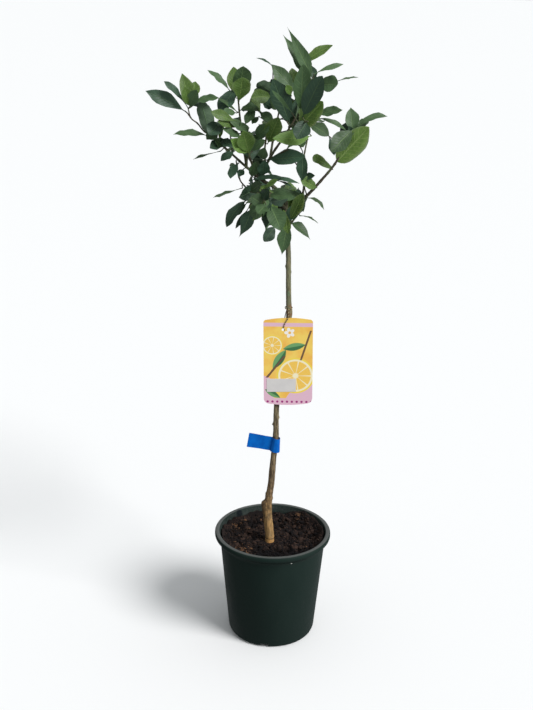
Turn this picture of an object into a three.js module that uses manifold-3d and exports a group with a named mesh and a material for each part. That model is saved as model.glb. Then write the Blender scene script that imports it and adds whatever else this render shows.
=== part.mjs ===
// A lemon tree grown on a single bare stem, in its plastic nursery pot, with a hanging card and a wrapped label.
// Millimetres, +Z up. The origin is the middle of the pot's flat underside, and +Y points away from the viewer.
import * as THREE from "three";
import { mergeVertices } from "three/addons/utils/BufferGeometryUtils.js";
import Module from "manifold-3d";

const wasm = await Module();
wasm.setup();

// Clearance between two pieces that touch on the real plant
const SEAT = 0.3;

// Pot
const POT = {
  height: 190,
  rimRadius: 100,
  lipHeight: 9,
  lipRound: 3,
  bodyTopRadius: 91,
  baseRadius: 75.5,
  cornerRadius: 7,
  wall: 1.8,
  segments: 36,
};
const DRAIN = { count: 4, width: 9, height: 5, depth: 14, firstAngle: -99.4 };

// Compost
const SOIL = {
  level: 167,
  roughness: 3,
  rings: 6,
  segments: 28,
  flatRadius: 22,
  dishDepth: 5,
};

// Trunk: middle line from ground to fork, and its radius at each point
const TRUNK = {
  line: [
    [-4, 0, 155],
    [-4, 0, 172],
    [-6, 1, 205],
    [-10, 1, 238],
    [-8, 0, 266],
    [-2, -1, 330],
    [3, 0, 400],
    [5, 1, 450],
    [14, 2, 525],
    [20, 1, 580],
    [18, 0, 650],
    [14, 0, 720],
    [10, 0, 765],
  ],
  radii: [8.2, 8.2, 7.8, 7.4, 6.9, 6.1, 5.7, 5.5, 5.0, 4.7, 4.3, 4.1, 3.8],
  flare: 2.2,
  flareHeight: 9,
  sides: 12,
  steps: 24,
};
const GRAFT_STUB = {
  line: [
    [-8, 0, 224],
    [-13, -1, 238],
    [-17.5, -1, 247],
  ],
  radii: [6.4, 4.6, 3.2],
};

// Boughs: each leaves its parent limb at the first point and runs to the middle of the mass it carries
const BOUGHS = [
  { name: "bough_right_arm", from: "trunk", carries: "foliage_right_arm", radii: [3.1, 1.6],
    line: [[12, 0, 742], [41, -6, 772], [67, -9, 802], [85, -9, 825]] },
  { name: "bough_left_arm", from: "trunk", carries: "foliage_left_tip", radii: [3.4, 1.5],
    line: [[10, 0, 760], [-26, 5, 791], [-60, 6, 828], [-112, 5, 868]] },
  { name: "bough_leader", from: "bough_left_arm", carries: "foliage_top", radii: [2.8, 1.7],
    line: [[-19, 4, 785], [-24, -1, 808], [-12, -5, 836], [8, -8, 867]] },
  { name: "bough_low_left", from: "trunk", carries: "foliage_low_left", radii: [2.2, 1.5],
    line: [[13, 0, 730], [-15, -8, 750]] },
  { name: "bough_low_right", from: "trunk", carries: "foliage_low_right", radii: [2.0, 1.4],
    line: [[14, 0, 722], [25, -6, 738]] },
  { name: "bough_low_front", from: "trunk", carries: "foliage_low_front", radii: [2.0, 1.4],
    line: [[15, 0, 708], [6, -20, 730]] },
  { name: "bough_low_back", from: "trunk", carries: "foliage_low_back", radii: [2.2, 1.5],
    line: [[13, 0, 733], [6, 28, 752]] },
  { name: "bough_front", from: "trunk", carries: "foliage_front", radii: [2.4, 1.4],
    line: [[11, 0, 750], [0, -32, 778], [-14, -66, 788]] },
  { name: "bough_back", from: "trunk", carries: "foliage_back_right", radii: [2.8, 1.6],
    line: [[10, 0, 763], [12, 30, 790], [28, 58, 828]] },
  { name: "bough_back_left", from: "bough_back", carries: "foliage_back_left", radii: [2.2, 1.4],
    line: [[13, 31, 792], [-14, 56, 812]] },
  { name: "bough_inner", from: "bough_left_arm", carries: "foliage_inner", radii: [2.0, 1.4],
    line: [[-6, 2, 775], [-10, -12, 786]] },
  { name: "bough_rosette", from: "bough_left_arm", carries: "foliage_rosette", radii: [2.1, 1.4],
    line: [[-36, 5, 802], [-41, -18, 826]] },
  { name: "bough_left_tuft", from: "bough_low_left", carries: "foliage_left_tuft", radii: [1.6, 1.1],
    line: [[-8, -6, 747], [-44, 8, 778], [-60, 6, 796]] },
  { name: "bough_left_crest", from: "bough_left_arm", carries: "foliage_left_crest", radii: [2.1, 1.4],
    line: [[-50, 6, 817], [-56, 22, 850], [-61, 20, 890]] },
  { name: "bough_right_mid", from: "bough_leader", carries: "foliage_right_mid", radii: [1.9, 1.3],
    line: [[-16, -4, 829], [0, -24, 842]] },
  { name: "bough_shoulder", from: "bough_leader", carries: "foliage_shoulder", radii: [1.9, 1.3],
    line: [[4, -7, 861], [26, -14, 874]] },
  { name: "bough_centre", from: "bough_leader", carries: "foliage_centre", radii: [1.8, 1.3],
    line: [[-21, -3, 818], [-22, 6, 846]] },
  { name: "bough_back_top", from: "bough_leader", carries: "foliage_back_top", radii: [2.0, 1.3],
    line: [[-14, -4, 832], [-8, 22, 866], [-2, 40, 892]] },
  { name: "bough_front_top", from: "bough_leader", carries: "foliage_front_top", radii: [1.9, 1.3],
    line: [[14, -8, 880], [28, -44, 890]] },
];

// Foliage: each mass is an uneven body round its middle, drawn out to the tips of its leaves
const MASSES = [
  { name: "foliage_top", middle: [30, -4, 936], core: 26, detail: 3,
    tips: [[10, -5, 1025], [-3, 12, 1010], [77, 12, 1001], [93, 26, 974], [116, 0, 953], [86, -28, 932],
      [-34, 8, 981], [-33, -18, 943], [22, 62, 985], [34, -62, 968], [60, 55, 945]] },
  { name: "foliage_left_tip", middle: [-140, 5, 903], core: 16, detail: 2,
    tips: [[-203, -12, 930], [-174, 32, 945], [-147, 10, 956], [-96, -8, 919], [-109, -30, 869],
      [-152, 66, 905], [-156, -54, 893]] },
  { name: "foliage_left_crest", middle: [-63, 18, 922], core: 17, detail: 2,
    tips: [[-109, 28, 961], [-73, 34, 968], [-51, -2, 969], [-92, -6, 889], [-27, 4, 918], [-49, -24, 884],
      [-62, 82, 934], [-98, 62, 905]] },
  { name: "foliage_left_flank", middle: [-86, -16, 862], core: 19, detail: 2,
    tips: [[-98, -34, 903], [-133, -18, 827], [-165, -14, 868], [-70, -38, 836], [-54, -26, 878],
      [-98, 36, 842], [-112, -62, 850]] },
  { name: "foliage_left_tuft", middle: [-74, 3, 812], core: 9, detail: 2,
    tips: [[-82, -2, 787], [-95, -8, 816], [-62, -20, 803], [-84, 32, 806]] },
  { name: "foliage_rosette", middle: [-46, -38, 850], core: 16, detail: 2,
    tips: [[-54, -52, 888], [-20, -42, 870], [-82, -58, 846], [-62, -92, 862], [-30, -82, 836], [-38, -16, 878]] },
  { name: "foliage_inner", middle: [-16, -34, 798], core: 15, detail: 2,
    tips: [[22, -42, 806], [-48, -46, 806], [-8, -76, 812], [-30, -36, 826], [8, -50, 776]] },
  { name: "foliage_centre", middle: [-14, 12, 884], core: 16, detail: 2,
    tips: [[-34, 16, 912], [6, 8, 910], [-2, 22, 858], [-34, -10, 866], [16, 14, 876], [-22, 52, 890],
      [-16, -36, 884]] },
  { name: "foliage_right_mid", middle: [18, -46, 852], core: 17, detail: 2,
    tips: [[51, -38, 867], [46, -64, 844], [44, -36, 813], [-16, -66, 846], [12, -106, 862], [44, -92, 838]] },
  { name: "foliage_shoulder", middle: [52, -18, 886], core: 15, detail: 2,
    tips: [[96, -30, 905], [76, -44, 866], [102, -6, 878], [56, 34, 900], [34, -58, 880]] },
  { name: "foliage_right_arm", middle: [104, -9, 860], core: 17, detail: 2,
    tips: [[163, -10, 902], [106, 0, 908], [138, -24, 872], [133, 6, 840], [70, -2, 868], [52, -18, 833],
      [116, 52, 872], [112, -66, 858]] },
  { name: "foliage_low_left", middle: [-46, -14, 760], core: 17, detail: 2,
    tips: [[-103, -18, 771], [-82, -30, 723], [-62, -42, 705], [-66, 4, 790], [-30, -74, 742], [-72, 46, 756]] },
  { name: "foliage_low_front", middle: [-3, -38, 746], core: 16, detail: 2,
    tips: [[-23, -46, 702], [9, -26, 681], [26, -64, 712], [-26, -94, 728], [14, -92, 760]] },
  { name: "foliage_low_right", middle: [36, -12, 748], core: 13, detail: 2,
    tips: [[54, -22, 704], [64, 2, 732], [74, -12, 756], [40, -30, 787], [58, 46, 744]] },
  { name: "foliage_low_back", middle: [0, 58, 766], core: 17, detail: 2,
    tips: [[-32, 92, 732], [34, 94, 738], [2, 124, 772], [-48, 62, 782], [44, 58, 772]] },
  { name: "foliage_front", middle: [-22, -94, 792], core: 16, detail: 2,
    tips: [[-50, -138, 778], [4, -150, 796], [-62, -98, 812], [18, -112, 776], [-18, -112, 748], [-20, -128, 828]] },
  { name: "foliage_back_right", middle: [46, 84, 852], core: 18, detail: 2,
    tips: [[92, 104, 846], [42, 146, 868], [62, 88, 902], [6, 118, 838], [88, 66, 812], [54, 122, 812]] },
  { name: "foliage_back_left", middle: [-52, 82, 834], core: 18, detail: 2,
    tips: [[-102, 106, 826], [-46, 146, 850], [-78, 88, 882], [-14, 104, 816], [-66, 118, 794]] },
  { name: "foliage_back_top", middle: [2, 60, 912], core: 17, detail: 2,
    tips: [[-16, 98, 950], [34, 106, 938], [-42, 74, 900], [4, 116, 896], [40, 70, 884]] },
  { name: "foliage_front_top", middle: [40, -82, 898], core: 16, detail: 2,
    tips: [[76, -112, 912], [20, -126, 906], [50, -108, 938], [62, -100, 868], [6, -92, 922]] },
];
const LEAF_SPREAD = 0.36;
const CROWN_SEED = 7;

// Hanging card, its sticker and its tie
const CARD = {
  middleX: 20,
  bottom: 426,
  width: 80,
  height: 151,
  thickness: 0.8,
  back: -6.4,
  bow: 3,
  topCorner: 6,
  bottomCorner: 10,
  hole: { x: 12, z: 557, radius: 2.6 },
};
const STICKER = { x: 9, z: 461, width: 48, height: 23, thickness: 0.4 };
const TIE = { radius: 0.8, loopZ: 592, loopRadius: 6.2, tilt: 14 };

// Wrapped label: a strip round the trunk whose two ends meet as a flag
const WRAP = {
  z: 355,
  height: 25,
  innerRadius: 6.9,
  thickness: 0.7,
  flagLength: 40,
  lean: 6,
};

// Colours and finishes
const FINISH = {
  pot: new THREE.MeshStandardMaterial({ color: 0x1c2625, roughness: 0.55 }),
  soil: new THREE.MeshStandardMaterial({ color: 0x2b1d17, roughness: 1 }),
  bark: new THREE.MeshStandardMaterial({ color: 0x6a5a42, roughness: 0.85 }),
  twig: new THREE.MeshStandardMaterial({ color: 0x35402a, roughness: 0.7 }),
  leaf: new THREE.MeshStandardMaterial({ color: 0x2f5a2b, roughness: 0.5 }),
  card: new THREE.MeshStandardMaterial({ color: 0xf1c344, roughness: 0.4 }),
  sticker: new THREE.MeshStandardMaterial({ color: 0xe9e9ee, roughness: 0.5 }),
  tie: new THREE.MeshStandardMaterial({ color: 0x5b3c2a, roughness: 0.8 }),
  wrap: new THREE.MeshStandardMaterial({ color: 0x0a63cf, roughness: 0.35 }),
};

const vec = (p) => new THREE.Vector3(...p);
const degrees = THREE.MathUtils.degToRad;

// Closed geometry to solid and back
function toSolid(geometry) {
  const bare = new THREE.BufferGeometry().setAttribute(
    "position",
    (geometry.index ? geometry.toNonIndexed() : geometry).getAttribute("position"),
  );
  const merged = mergeVertices(bare, 1e-3);
  return new wasm.Manifold(
    new wasm.Mesh({
      numProp: 3,
      vertProperties: merged.attributes.position.array,
      triVerts: new Uint32Array(merged.index.array),
    }),
  );
}

function toGeometry(solid) {
  const mesh = solid.getMesh();
  const geometry = new THREE.BufferGeometry()
    .setAttribute("position", new THREE.BufferAttribute(mesh.vertProperties.slice(), 3))
    .setIndex(new THREE.BufferAttribute(mesh.triVerts.slice(), 1));
  geometry.computeVertexNormals();
  return geometry;
}

// The largest body left after the cutters are taken away
function cutBy(solid, cutters) {
  const left = cutters.reduce((rest, cutter) => rest.subtract(cutter), solid);
  return left.decompose().reduce((a, b) => (a.volume() > b.volume() ? a : b));
}

// Vertices in rows that close into a tube, with a fan at each end
function closedRows(rows, firstTip, lastTip) {
  const sides = rows[0].length;
  const positions = [...rows.flat(), firstTip, lastTip].flatMap((p) => p.toArray());
  const start = rows.length * sides;
  const faces = [];
  for (let i = 0; i < rows.length - 1; i++)
    for (let j = 0; j < sides; j++) {
      const k = (j + 1) % sides;
      const [a, b] = [i * sides + j, i * sides + k];
      faces.push(a, b, b + sides, a, b + sides, a + sides);
    }
  for (let j = 0; j < sides; j++) {
    const k = (j + 1) % sides;
    const last = (rows.length - 1) * sides;
    faces.push(start, k, j, start + 1, last + j, last + k);
  }
  return new THREE.BufferGeometry()
    .setAttribute("position", new THREE.Float32BufferAttribute(positions, 3))
    .setIndex(faces);
}

// A tapering limb round a smooth line, thicker by grow
function limb(line, radiusAt, sides, steps, grow = 0) {
  const curve = new THREE.CatmullRomCurve3(line.map(vec), false, "centripetal");
  const { normals, binormals } = curve.computeFrenetFrames(steps);
  const rows = [];
  for (let i = 0; i <= steps; i++) {
    const point = curve.getPointAt(i / steps);
    const radius = radiusAt(i / steps, point) + grow;
    rows.push(
      Array.from({ length: sides }, (_, j) => {
        const angle = (j / sides) * 2 * Math.PI;
        return point
          .clone()
          .addScaledVector(normals[i], Math.cos(angle) * radius)
          .addScaledVector(binormals[i], Math.sin(angle) * radius);
      }),
    );
  }
  return toSolid(closedRows(rows, curve.getPointAt(0), curve.getPointAt(1)));
}

// Radius between a list of radii spread evenly along the line's points
function along(radii, line) {
  const points = line.map(vec);
  const lengths = [0];
  for (let i = 1; i < points.length; i++) lengths.push(lengths[i - 1] + points[i].distanceTo(points[i - 1]));
  return (t) => {
    const at = t * lengths.at(-1);
    const i = Math.min(lengths.findLastIndex((x) => x <= at), points.length - 2);
    return THREE.MathUtils.mapLinear(at, lengths[i], lengths[i + 1], radii[i], radii[i + 1]);
  };
}

// Pot
function potSolid() {
  const { height, rimRadius, lipHeight, lipRound, bodyTopRadius, baseRadius, cornerRadius, wall, segments } = POT;
  const lipFoot = height - lipHeight;
  const lean = (bodyTopRadius - baseRadius) / (lipFoot - cornerRadius);
  const outline = new THREE.Path();
  outline.moveTo(0, 0);
  outline.lineTo(baseRadius - cornerRadius, 0);
  outline.quadraticCurveTo(baseRadius - 1, 0, baseRadius, cornerRadius);
  outline.lineTo(bodyTopRadius, lipFoot);
  outline.lineTo(rimRadius - 1, lipFoot);
  outline.lineTo(rimRadius, lipFoot + 1);
  outline.lineTo(rimRadius, height - lipRound);
  outline.quadraticCurveTo(rimRadius, height, rimRadius - lipRound, height);
  outline.lineTo(bodyTopRadius - wall + 1, height);
  outline.lineTo(bodyTopRadius - wall, lipFoot);
  outline.lineTo(baseRadius - wall + lean, cornerRadius + wall);
  outline.lineTo(baseRadius - cornerRadius, wall);
  outline.lineTo(0, wall);
  const points = outline.getPoints(2).filter((p, i, all) => i === 0 || p.distanceTo(all[i - 1]) > 1e-4);
  const body = toSolid(new THREE.LatheGeometry(points, segments).rotateX(Math.PI / 2));
  const drains = Array.from({ length: DRAIN.count }, (_, i) => {
    const angle = degrees(DRAIN.firstAngle + (i * 360) / DRAIN.count);
    const box = new THREE.BoxGeometry(DRAIN.depth, DRAIN.width, 2 * DRAIN.height)
      .translate(baseRadius, 0, 0)
      .rotateZ(angle);
    return toSolid(box);
  });
  return cutBy(body, drains);
}

// Inner radius of the pot at a height
function potInside(z) {
  const top = POT.height - POT.lipHeight;
  return THREE.MathUtils.mapLinear(z, POT.cornerRadius, top, POT.baseRadius, POT.bodyTopRadius) - POT.wall;
}

// Height of the compost, flat where the trunk stands in it
function soilHeight(x, y) {
  const [footX, footY] = TRUNK.line[0];
  const away = Math.hypot(x - footX, y - footY);
  const loose = THREE.MathUtils.smoothstep(away, SOIL.flatRadius, SOIL.flatRadius + 14);
  const lumps = Math.sin(x / 11 + 1) * Math.cos(y / 9) + 0.6 * Math.sin((x + y) / 6.5);
  const dish = SOIL.dishDepth * Math.min(1, away / potInside(SOIL.level));
  return SOIL.level + loose * (SOIL.roughness * 0.6 * lumps + dish);
}

// Compost that fills the pot, clear of its wall and floor by the seat
function soilSolid() {
  const floor = POT.wall + SEAT;
  const edgeZ = SOIL.level + SOIL.dishDepth;
  const ringOf = (radius, heightAt) =>
    Array.from({ length: SOIL.segments }, (_, j) => {
      const angle = (j / SOIL.segments) * 2 * Math.PI;
      const [x, y] = [radius * Math.cos(angle), radius * Math.sin(angle)];
      return new THREE.Vector3(x, y, heightAt(x, y));
    });
  const snug = Math.cos(Math.PI / POT.segments);
  const fit = (z) => (potInside(z) - SEAT) * snug;
  const rows = [
    ringOf(fit(0) - POT.cornerRadius, () => floor),
    ringOf(fit(POT.cornerRadius + POT.wall) - SEAT, () => POT.cornerRadius + POT.wall),
    ringOf(fit(edgeZ - 9), () => edgeZ - 9),
  ];
  for (let i = SOIL.rings; i >= 1; i--)
    rows.push(ringOf((fit(edgeZ - 9) * i) / SOIL.rings, soilHeight));
  const bottom = new THREE.Vector3(0, 0, floor);
  const crown = new THREE.Vector3(0, 0, soilHeight(0, 0));
  return toSolid(closedRows(rows, bottom, crown));
}

// Trunk with its root flare and the healed stub of the graft, cut flat at ground level
function trunkSolid(grow = 0) {
  const plain = along(TRUNK.radii, TRUNK.line);
  const flared = (t, point) =>
    plain(t) + TRUNK.flare * Math.exp(-Math.max(0, point.z - SOIL.level) / TRUNK.flareHeight);
  const stem = limb(TRUNK.line, flared, TRUNK.sides, TRUNK.steps, grow);
  const stub = limb(GRAFT_STUB.line, along(GRAFT_STUB.radii, GRAFT_STUB.line), 8, 4, grow);
  return stem.add(stub).trimByPlane([0, 0, 1], SOIL.level + SEAT);
}

// A bough from inside its parent to the middle of its mass
function boughSolid(bough, grow = 0) {
  const mass = MASSES.find((m) => m.name === bough.carries);
  const line = [...bough.line, mass.middle];
  const [foot, tip] = bough.radii;
  return limb(line, (t) => THREE.MathUtils.lerp(foot, tip, t), 6, 2 * line.length, grow);
}

// Middle of the trunk at a height
function trunkAt(z) {
  const curve = new THREE.CatmullRomCurve3(TRUNK.line.map(vec), false, "centripetal");
  let [low, high] = [0, 1];
  for (let i = 0; i < 30; i++) {
    const half = (low + high) / 2;
    if (curve.getPointAt(half).z < z) low = half;
    else high = half;
  }
  return curve.getPointAt(low);
}

// Small repeatable unevenness for a direction
function rough(direction, seed) {
  const { x, y, z } = direction;
  return Math.sin(7 * x + seed) * Math.cos(6 * y - 2 * seed) * Math.sin(5 * z + 3 * seed);
}

// A mass of leaves: a ball of facets, uneven, drawn out towards each leaf tip
function massSolid(mass, seed, grow = 0) {
  const ball = mergeVertices(
    new THREE.BufferGeometry().setAttribute(
      "position",
      new THREE.IcosahedronGeometry(1, mass.detail).getAttribute("position"),
    ),
    1e-4,
  );
  const middle = vec(mass.middle);
  const rays = mass.tips.map((tip) => vec(tip).sub(middle));
  const position = ball.getAttribute("position");
  const directions = Array.from({ length: position.count }, (_, i) =>
    new THREE.Vector3().fromBufferAttribute(position, i).normalize(),
  );
  const nearest = rays.map((ray) =>
    directions.reduce((best, d, i) => (d.angleTo(ray) < directions[best].angleTo(ray) ? i : best), 0),
  );
  nearest.forEach((i, k) => directions[i].copy(rays[k]).normalize());
  directions.forEach((direction, i) => {
    const radius = rays.reduce(
      (reach, ray) => {
        const share = Math.exp(-((direction.angleTo(ray) / LEAF_SPREAD) ** 2));
        return Math.max(reach, mass.core + (ray.length() - mass.core) * share);
      },
      mass.core * (1 + 0.16 * rough(direction, seed)),
    );
    const point = direction.clone().multiplyScalar(radius + grow).add(middle);
    position.setXYZ(i, point.x, point.y, point.z);
  });
  return toSolid(ball);
}

// Card: a plate with rounded corners and bowed ends, facing -Y
function cardSolid() {
  const { middleX, bottom, width, height, thickness, back, bow, topCorner, bottomCorner, hole } = CARD;
  const side = width / 2;
  const outline = new THREE.Shape();
  outline.moveTo(-side, bow + bottomCorner);
  outline.quadraticCurveTo(-side, bow, -side + bottomCorner, bow * 0.75);
  outline.quadraticCurveTo(0, -bow * 0.75, side - bottomCorner, bow * 0.75);
  outline.quadraticCurveTo(side, bow, side, bow + bottomCorner);
  outline.lineTo(side, height - bow - topCorner);
  outline.quadraticCurveTo(side, height - bow, side - topCorner, height - bow);
  outline.quadraticCurveTo(0, height + bow, -side + topCorner, height - bow);
  outline.quadraticCurveTo(-side, height - bow, -side, height - bow - topCorner);
  const eye = new THREE.Path();
  eye.absarc(hole.x - middleX, hole.z - bottom, hole.radius, 0, 2 * Math.PI, true);
  outline.holes.push(eye);
  const plate = new THREE.ExtrudeGeometry(outline, { depth: thickness, bevelEnabled: false, curveSegments: 6 });
  return toSolid(plate.rotateX(Math.PI / 2).translate(middleX, back, bottom));
}

function stickerSolid() {
  const front = CARD.back - CARD.thickness;
  const plate = new THREE.BoxGeometry(STICKER.width, STICKER.thickness, STICKER.height);
  return toSolid(plate.translate(STICKER.x, front - STICKER.thickness / 2, STICKER.z));
}

// Tie: a ring round the trunk, with a strand that drops in front, turns up through the card's eye and climbs back
function tieSolid() {
  const { radius, loopZ, loopRadius, tilt } = TIE;
  const stem = trunkAt(loopZ);
  const ring = toSolid(
    new THREE.TorusGeometry(loopRadius, radius, 5, 16)
      .rotateX(degrees(tilt))
      .translate(stem.x, stem.y, loopZ),
  );
  const turn = CARD.thickness / 2 + SEAT + radius;
  const turnY = CARD.back - CARD.thickness / 2;
  const turnZ = CARD.hole.z + CARD.hole.radius - SEAT - radius + turn;
  const { x } = CARD.hole;
  const underEye = [[x, turnY - turn, turnZ + 3]];
  for (let angle = 180; angle <= 360; angle += 30)
    underEye.push([x, turnY + turn * Math.cos(degrees(angle)), turnZ + turn * Math.sin(degrees(angle))]);
  underEye.push([x, turnY + turn, turnZ + 3]);
  const hook = limb(underEye, () => radius, 5, 10);
  const lowest = new THREE.Vector3(0, -loopRadius, 0).applyAxisAngle(new THREE.Vector3(1, 0, 0), degrees(tilt));
  const front = limb(
    [
      [stem.x - 1, stem.y + lowest.y, loopZ + lowest.z],
      [x + 5, turnY - turn - 0.6, loopZ - 11],
      [x + 1, turnY - turn, turnZ + 7],
      [x, turnY - turn, turnZ + 2],
    ],
    () => radius,
    5,
    7,
  );
  const back = limb(
    [
      [x, turnY + turn, turnZ + 2],
      [x - 0.4, turnY + turn + 0.3, turnZ + 8],
      [x, turnY + turn + 1, loopZ - 12],
      [stem.x - loopRadius, stem.y, loopZ],
    ],
    () => radius,
    5,
    7,
  );
  return ring.add(hook).add(front).add(back);
}

// Wrapped label: loop and flag drawn from above, raised to the strip's height and leaned with the trunk
function wrapSolid() {
  const { z, height, innerRadius, thickness, flagLength, lean } = WRAP;
  const outer = innerRadius + thickness;
  const join = Math.asin(thickness / outer);
  const outline = new THREE.Shape();
  outline.absarc(0, 0, outer, Math.PI + join, Math.PI - join, false);
  outline.lineTo(-outer - flagLength, thickness);
  outline.lineTo(-outer - flagLength, -thickness);
  outline.closePath();
  const inside = new THREE.Path();
  inside.absarc(0, 0, innerRadius, 0, 2 * Math.PI, true);
  outline.holes.push(inside);
  const strip = new THREE.ExtrudeGeometry(outline, { depth: height, bevelEnabled: false, curveSegments: 14 });
  const stem = trunkAt(z);
  return toSolid(
    strip
      .translate(0, 0, -height / 2)
      .rotateY(degrees(lean))
      .translate(stem.x, stem.y, z),
  );
}

// Assembly
const group = new THREE.Group();

function place(name, solid, material) {
  const mesh = new THREE.Mesh(toGeometry(solid), material);
  mesh.name = name;
  group.add(mesh);
}

place("pot", potSolid(), FINISH.pot);
place("soil", soilSolid(), FINISH.soil);
place("trunk", trunkSolid(), FINISH.bark);

const seedOf = (i) => CROWN_SEED + 1.7 * i;
const grownTrunk = trunkSolid(SEAT);
const grownBoughs = new Map(BOUGHS.map((b) => [b.name, boughSolid(b, SEAT)]));
const grownMasses = new Map(MASSES.map((m, i) => [m.name, massSolid(m, seedOf(i), SEAT)]));

BOUGHS.forEach((bough, i) => {
  const earlier = BOUGHS.slice(0, i).map((b) => grownBoughs.get(b.name));
  const solid = cutBy(boughSolid(bough), [grownTrunk, ...earlier, grownMasses.get(bough.carries)]);
  place(bough.name, solid, FINISH.twig);
});

MASSES.forEach((mass, i) => {
  const passing = BOUGHS.filter((b) => b.carries !== mass.name).map((b) => grownBoughs.get(b.name));
  const earlier = MASSES.slice(0, i).map((m) => grownMasses.get(m.name));
  const solid = cutBy(massSolid(mass, seedOf(i)), [grownTrunk, ...passing, ...earlier]);
  place(mass.name, solid, FINISH.leaf);
});

place("card", cardSolid(), FINISH.card);
place("card_sticker", stickerSolid(), FINISH.sticker);
place("card_tie", tieSolid(), FINISH.tie);
place("wrap_label", wrapSolid(), FINISH.wrap);

export default group;
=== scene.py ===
"""A young lemon standard in its nursery pot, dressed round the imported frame.

Sizes are in millimetres and in the frame's axes: +Z up, the origin in the middle of the pot's
underside, and +Y away from the viewer. Meshes are scaled to metres as they are finished.
"""

import logging
import math
import random
from collections.abc import Callable, Sequence
from dataclasses import dataclass, field
from enum import Enum

import bmesh
import bpy
import numpy as np
from mathutils import Matrix, Vector, noise

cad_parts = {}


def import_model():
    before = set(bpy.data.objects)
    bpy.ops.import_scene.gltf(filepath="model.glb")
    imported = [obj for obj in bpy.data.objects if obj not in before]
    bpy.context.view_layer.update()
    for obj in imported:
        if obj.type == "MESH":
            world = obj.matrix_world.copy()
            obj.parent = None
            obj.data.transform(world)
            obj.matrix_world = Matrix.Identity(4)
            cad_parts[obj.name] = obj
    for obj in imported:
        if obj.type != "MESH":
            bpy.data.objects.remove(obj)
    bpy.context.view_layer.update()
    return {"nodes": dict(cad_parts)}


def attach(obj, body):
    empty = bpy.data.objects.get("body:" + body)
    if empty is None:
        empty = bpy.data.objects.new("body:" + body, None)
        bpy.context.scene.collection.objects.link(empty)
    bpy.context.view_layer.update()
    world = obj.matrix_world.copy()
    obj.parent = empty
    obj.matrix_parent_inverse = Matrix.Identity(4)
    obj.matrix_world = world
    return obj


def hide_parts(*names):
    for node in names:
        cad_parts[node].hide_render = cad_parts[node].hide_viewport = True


log = logging.getLogger("lemon")

MM = 0.001
GOLDEN_ANGLE = 137.5

Point = tuple[float, float, float]
Pixel = tuple[float, float]
Colour = tuple[float, float, float, float]


def tint(red: int, green: int, blue: int) -> Colour:
    """Linear colour of an eight-bit screen colour.

    Args:
        red: Red, 0 to 255.
        green: Green, 0 to 255.
        blue: Blue, 0 to 255.

    Returns:
        The colour as linear red, green, blue and a full alpha.
    """
    shares = (channel / 255 for channel in (red, green, blue))
    return (*(s / 12.92 if s <= 0.04045 else ((s + 0.055) / 1.055) ** 2.4 for s in shares), 1.0)


# Curves and vectors


def unit(vector: np.ndarray) -> np.ndarray:
    """The vector at length one."""
    return vector / max(float(np.linalg.norm(vector)), 1e-9)


def turned(vector: np.ndarray, axis: np.ndarray, angle: float) -> np.ndarray:
    """The vector turned about a unit axis by an angle in radians."""
    along = axis * float(np.dot(axis, vector)) * (1 - math.cos(angle))
    return vector * math.cos(angle) + np.cross(axis, vector) * math.sin(angle) + along


def spoke(side: np.ndarray, up: np.ndarray, angle: float) -> np.ndarray:
    """The direction at an angle round a line, from its side towards its up."""
    return side * math.cos(angle) + up * math.sin(angle)


def fall(value: float, spread: float) -> float:
    """A bell that is 1 at 0 and falls away over a spread."""
    return math.exp(-((value / spread) ** 2))


def clamped(value: float) -> float:
    """The value kept from 0 to 1."""
    return min(1.0, max(0.0, value))


def run_of(line: np.ndarray) -> np.ndarray:
    """The way travelled at each point of a line."""
    return np.concatenate([[0], np.cumsum(np.linalg.norm(np.diff(line, axis=0), axis=1))])


def smooth_line(points: Sequence[Point], count: int) -> np.ndarray:
    """Evenly spaced points on a centripetal curve through the given ones.

    Args:
        points: What the curve passes through.
        count: How many points to return.

    Returns:
        An array of count points.
    """
    given = np.array(points, float)
    ends = np.vstack([2 * given[0] - given[1], given, 2 * given[-1] - given[-2]])
    t = np.linspace(0, 1, 24, endpoint=False)[:, None]
    dense = []
    for a, b, c, d in zip(ends, ends[1:], ends[2:], ends[3:]):
        before, gap, after = (
            math.sqrt(max(float(np.linalg.norm(q - p)), 1e-6)) for p, q in ((a, b), (b, c), (c, d))
        )
        start = ((b - a) / before - (c - a) / (before + gap) + (c - b) / gap) * gap
        stop = ((c - b) / gap - (d - b) / (gap + after) + (d - c) / after) * gap
        dense.append(
            (2 * t**3 - 3 * t**2 + 1) * b + (t**3 - 2 * t**2 + t) * start
            + (3 * t**2 - 2 * t**3) * c + (t**3 - t**2) * stop
        )
    dense = np.vstack([*dense, given[-1:]])
    run = run_of(dense)
    even = np.linspace(0, run[-1], count)
    return np.stack([np.interp(even, run, dense[:, k]) for k in range(3)], axis=1)


def rolling_frames(line: np.ndarray) -> list[tuple[np.ndarray, np.ndarray, np.ndarray]]:
    """Tangent, side and up of a line, turned as little as the line lets them.

    Args:
        line: Points along the line.

    Returns:
        One triple of unit vectors for each point.
    """
    tangents = [unit(t) for t in np.gradient(line, axis=0)]
    helper = np.array([0.0, 1.0, 0.0]) if abs(tangents[0][1]) < 0.9 else np.array([1.0, 0.0, 0.0])
    side = unit(np.cross(helper, tangents[0]))
    frames = []
    for tangent in tangents:
        side = unit(side - tangent * float(np.dot(side, tangent)))
        frames.append((tangent, side, np.cross(tangent, side)))
    return frames


# Meshes


def link(name: str, data: bpy.types.ID) -> bpy.types.Object:
    """Puts data into the scene.

    Args:
        name: The new object's name.
        data: The mesh, lamp or camera that it shows.

    Returns:
        The new object.
    """
    made = bpy.data.objects.new(name, data)
    bpy.context.scene.collection.objects.link(made)
    return made


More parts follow.
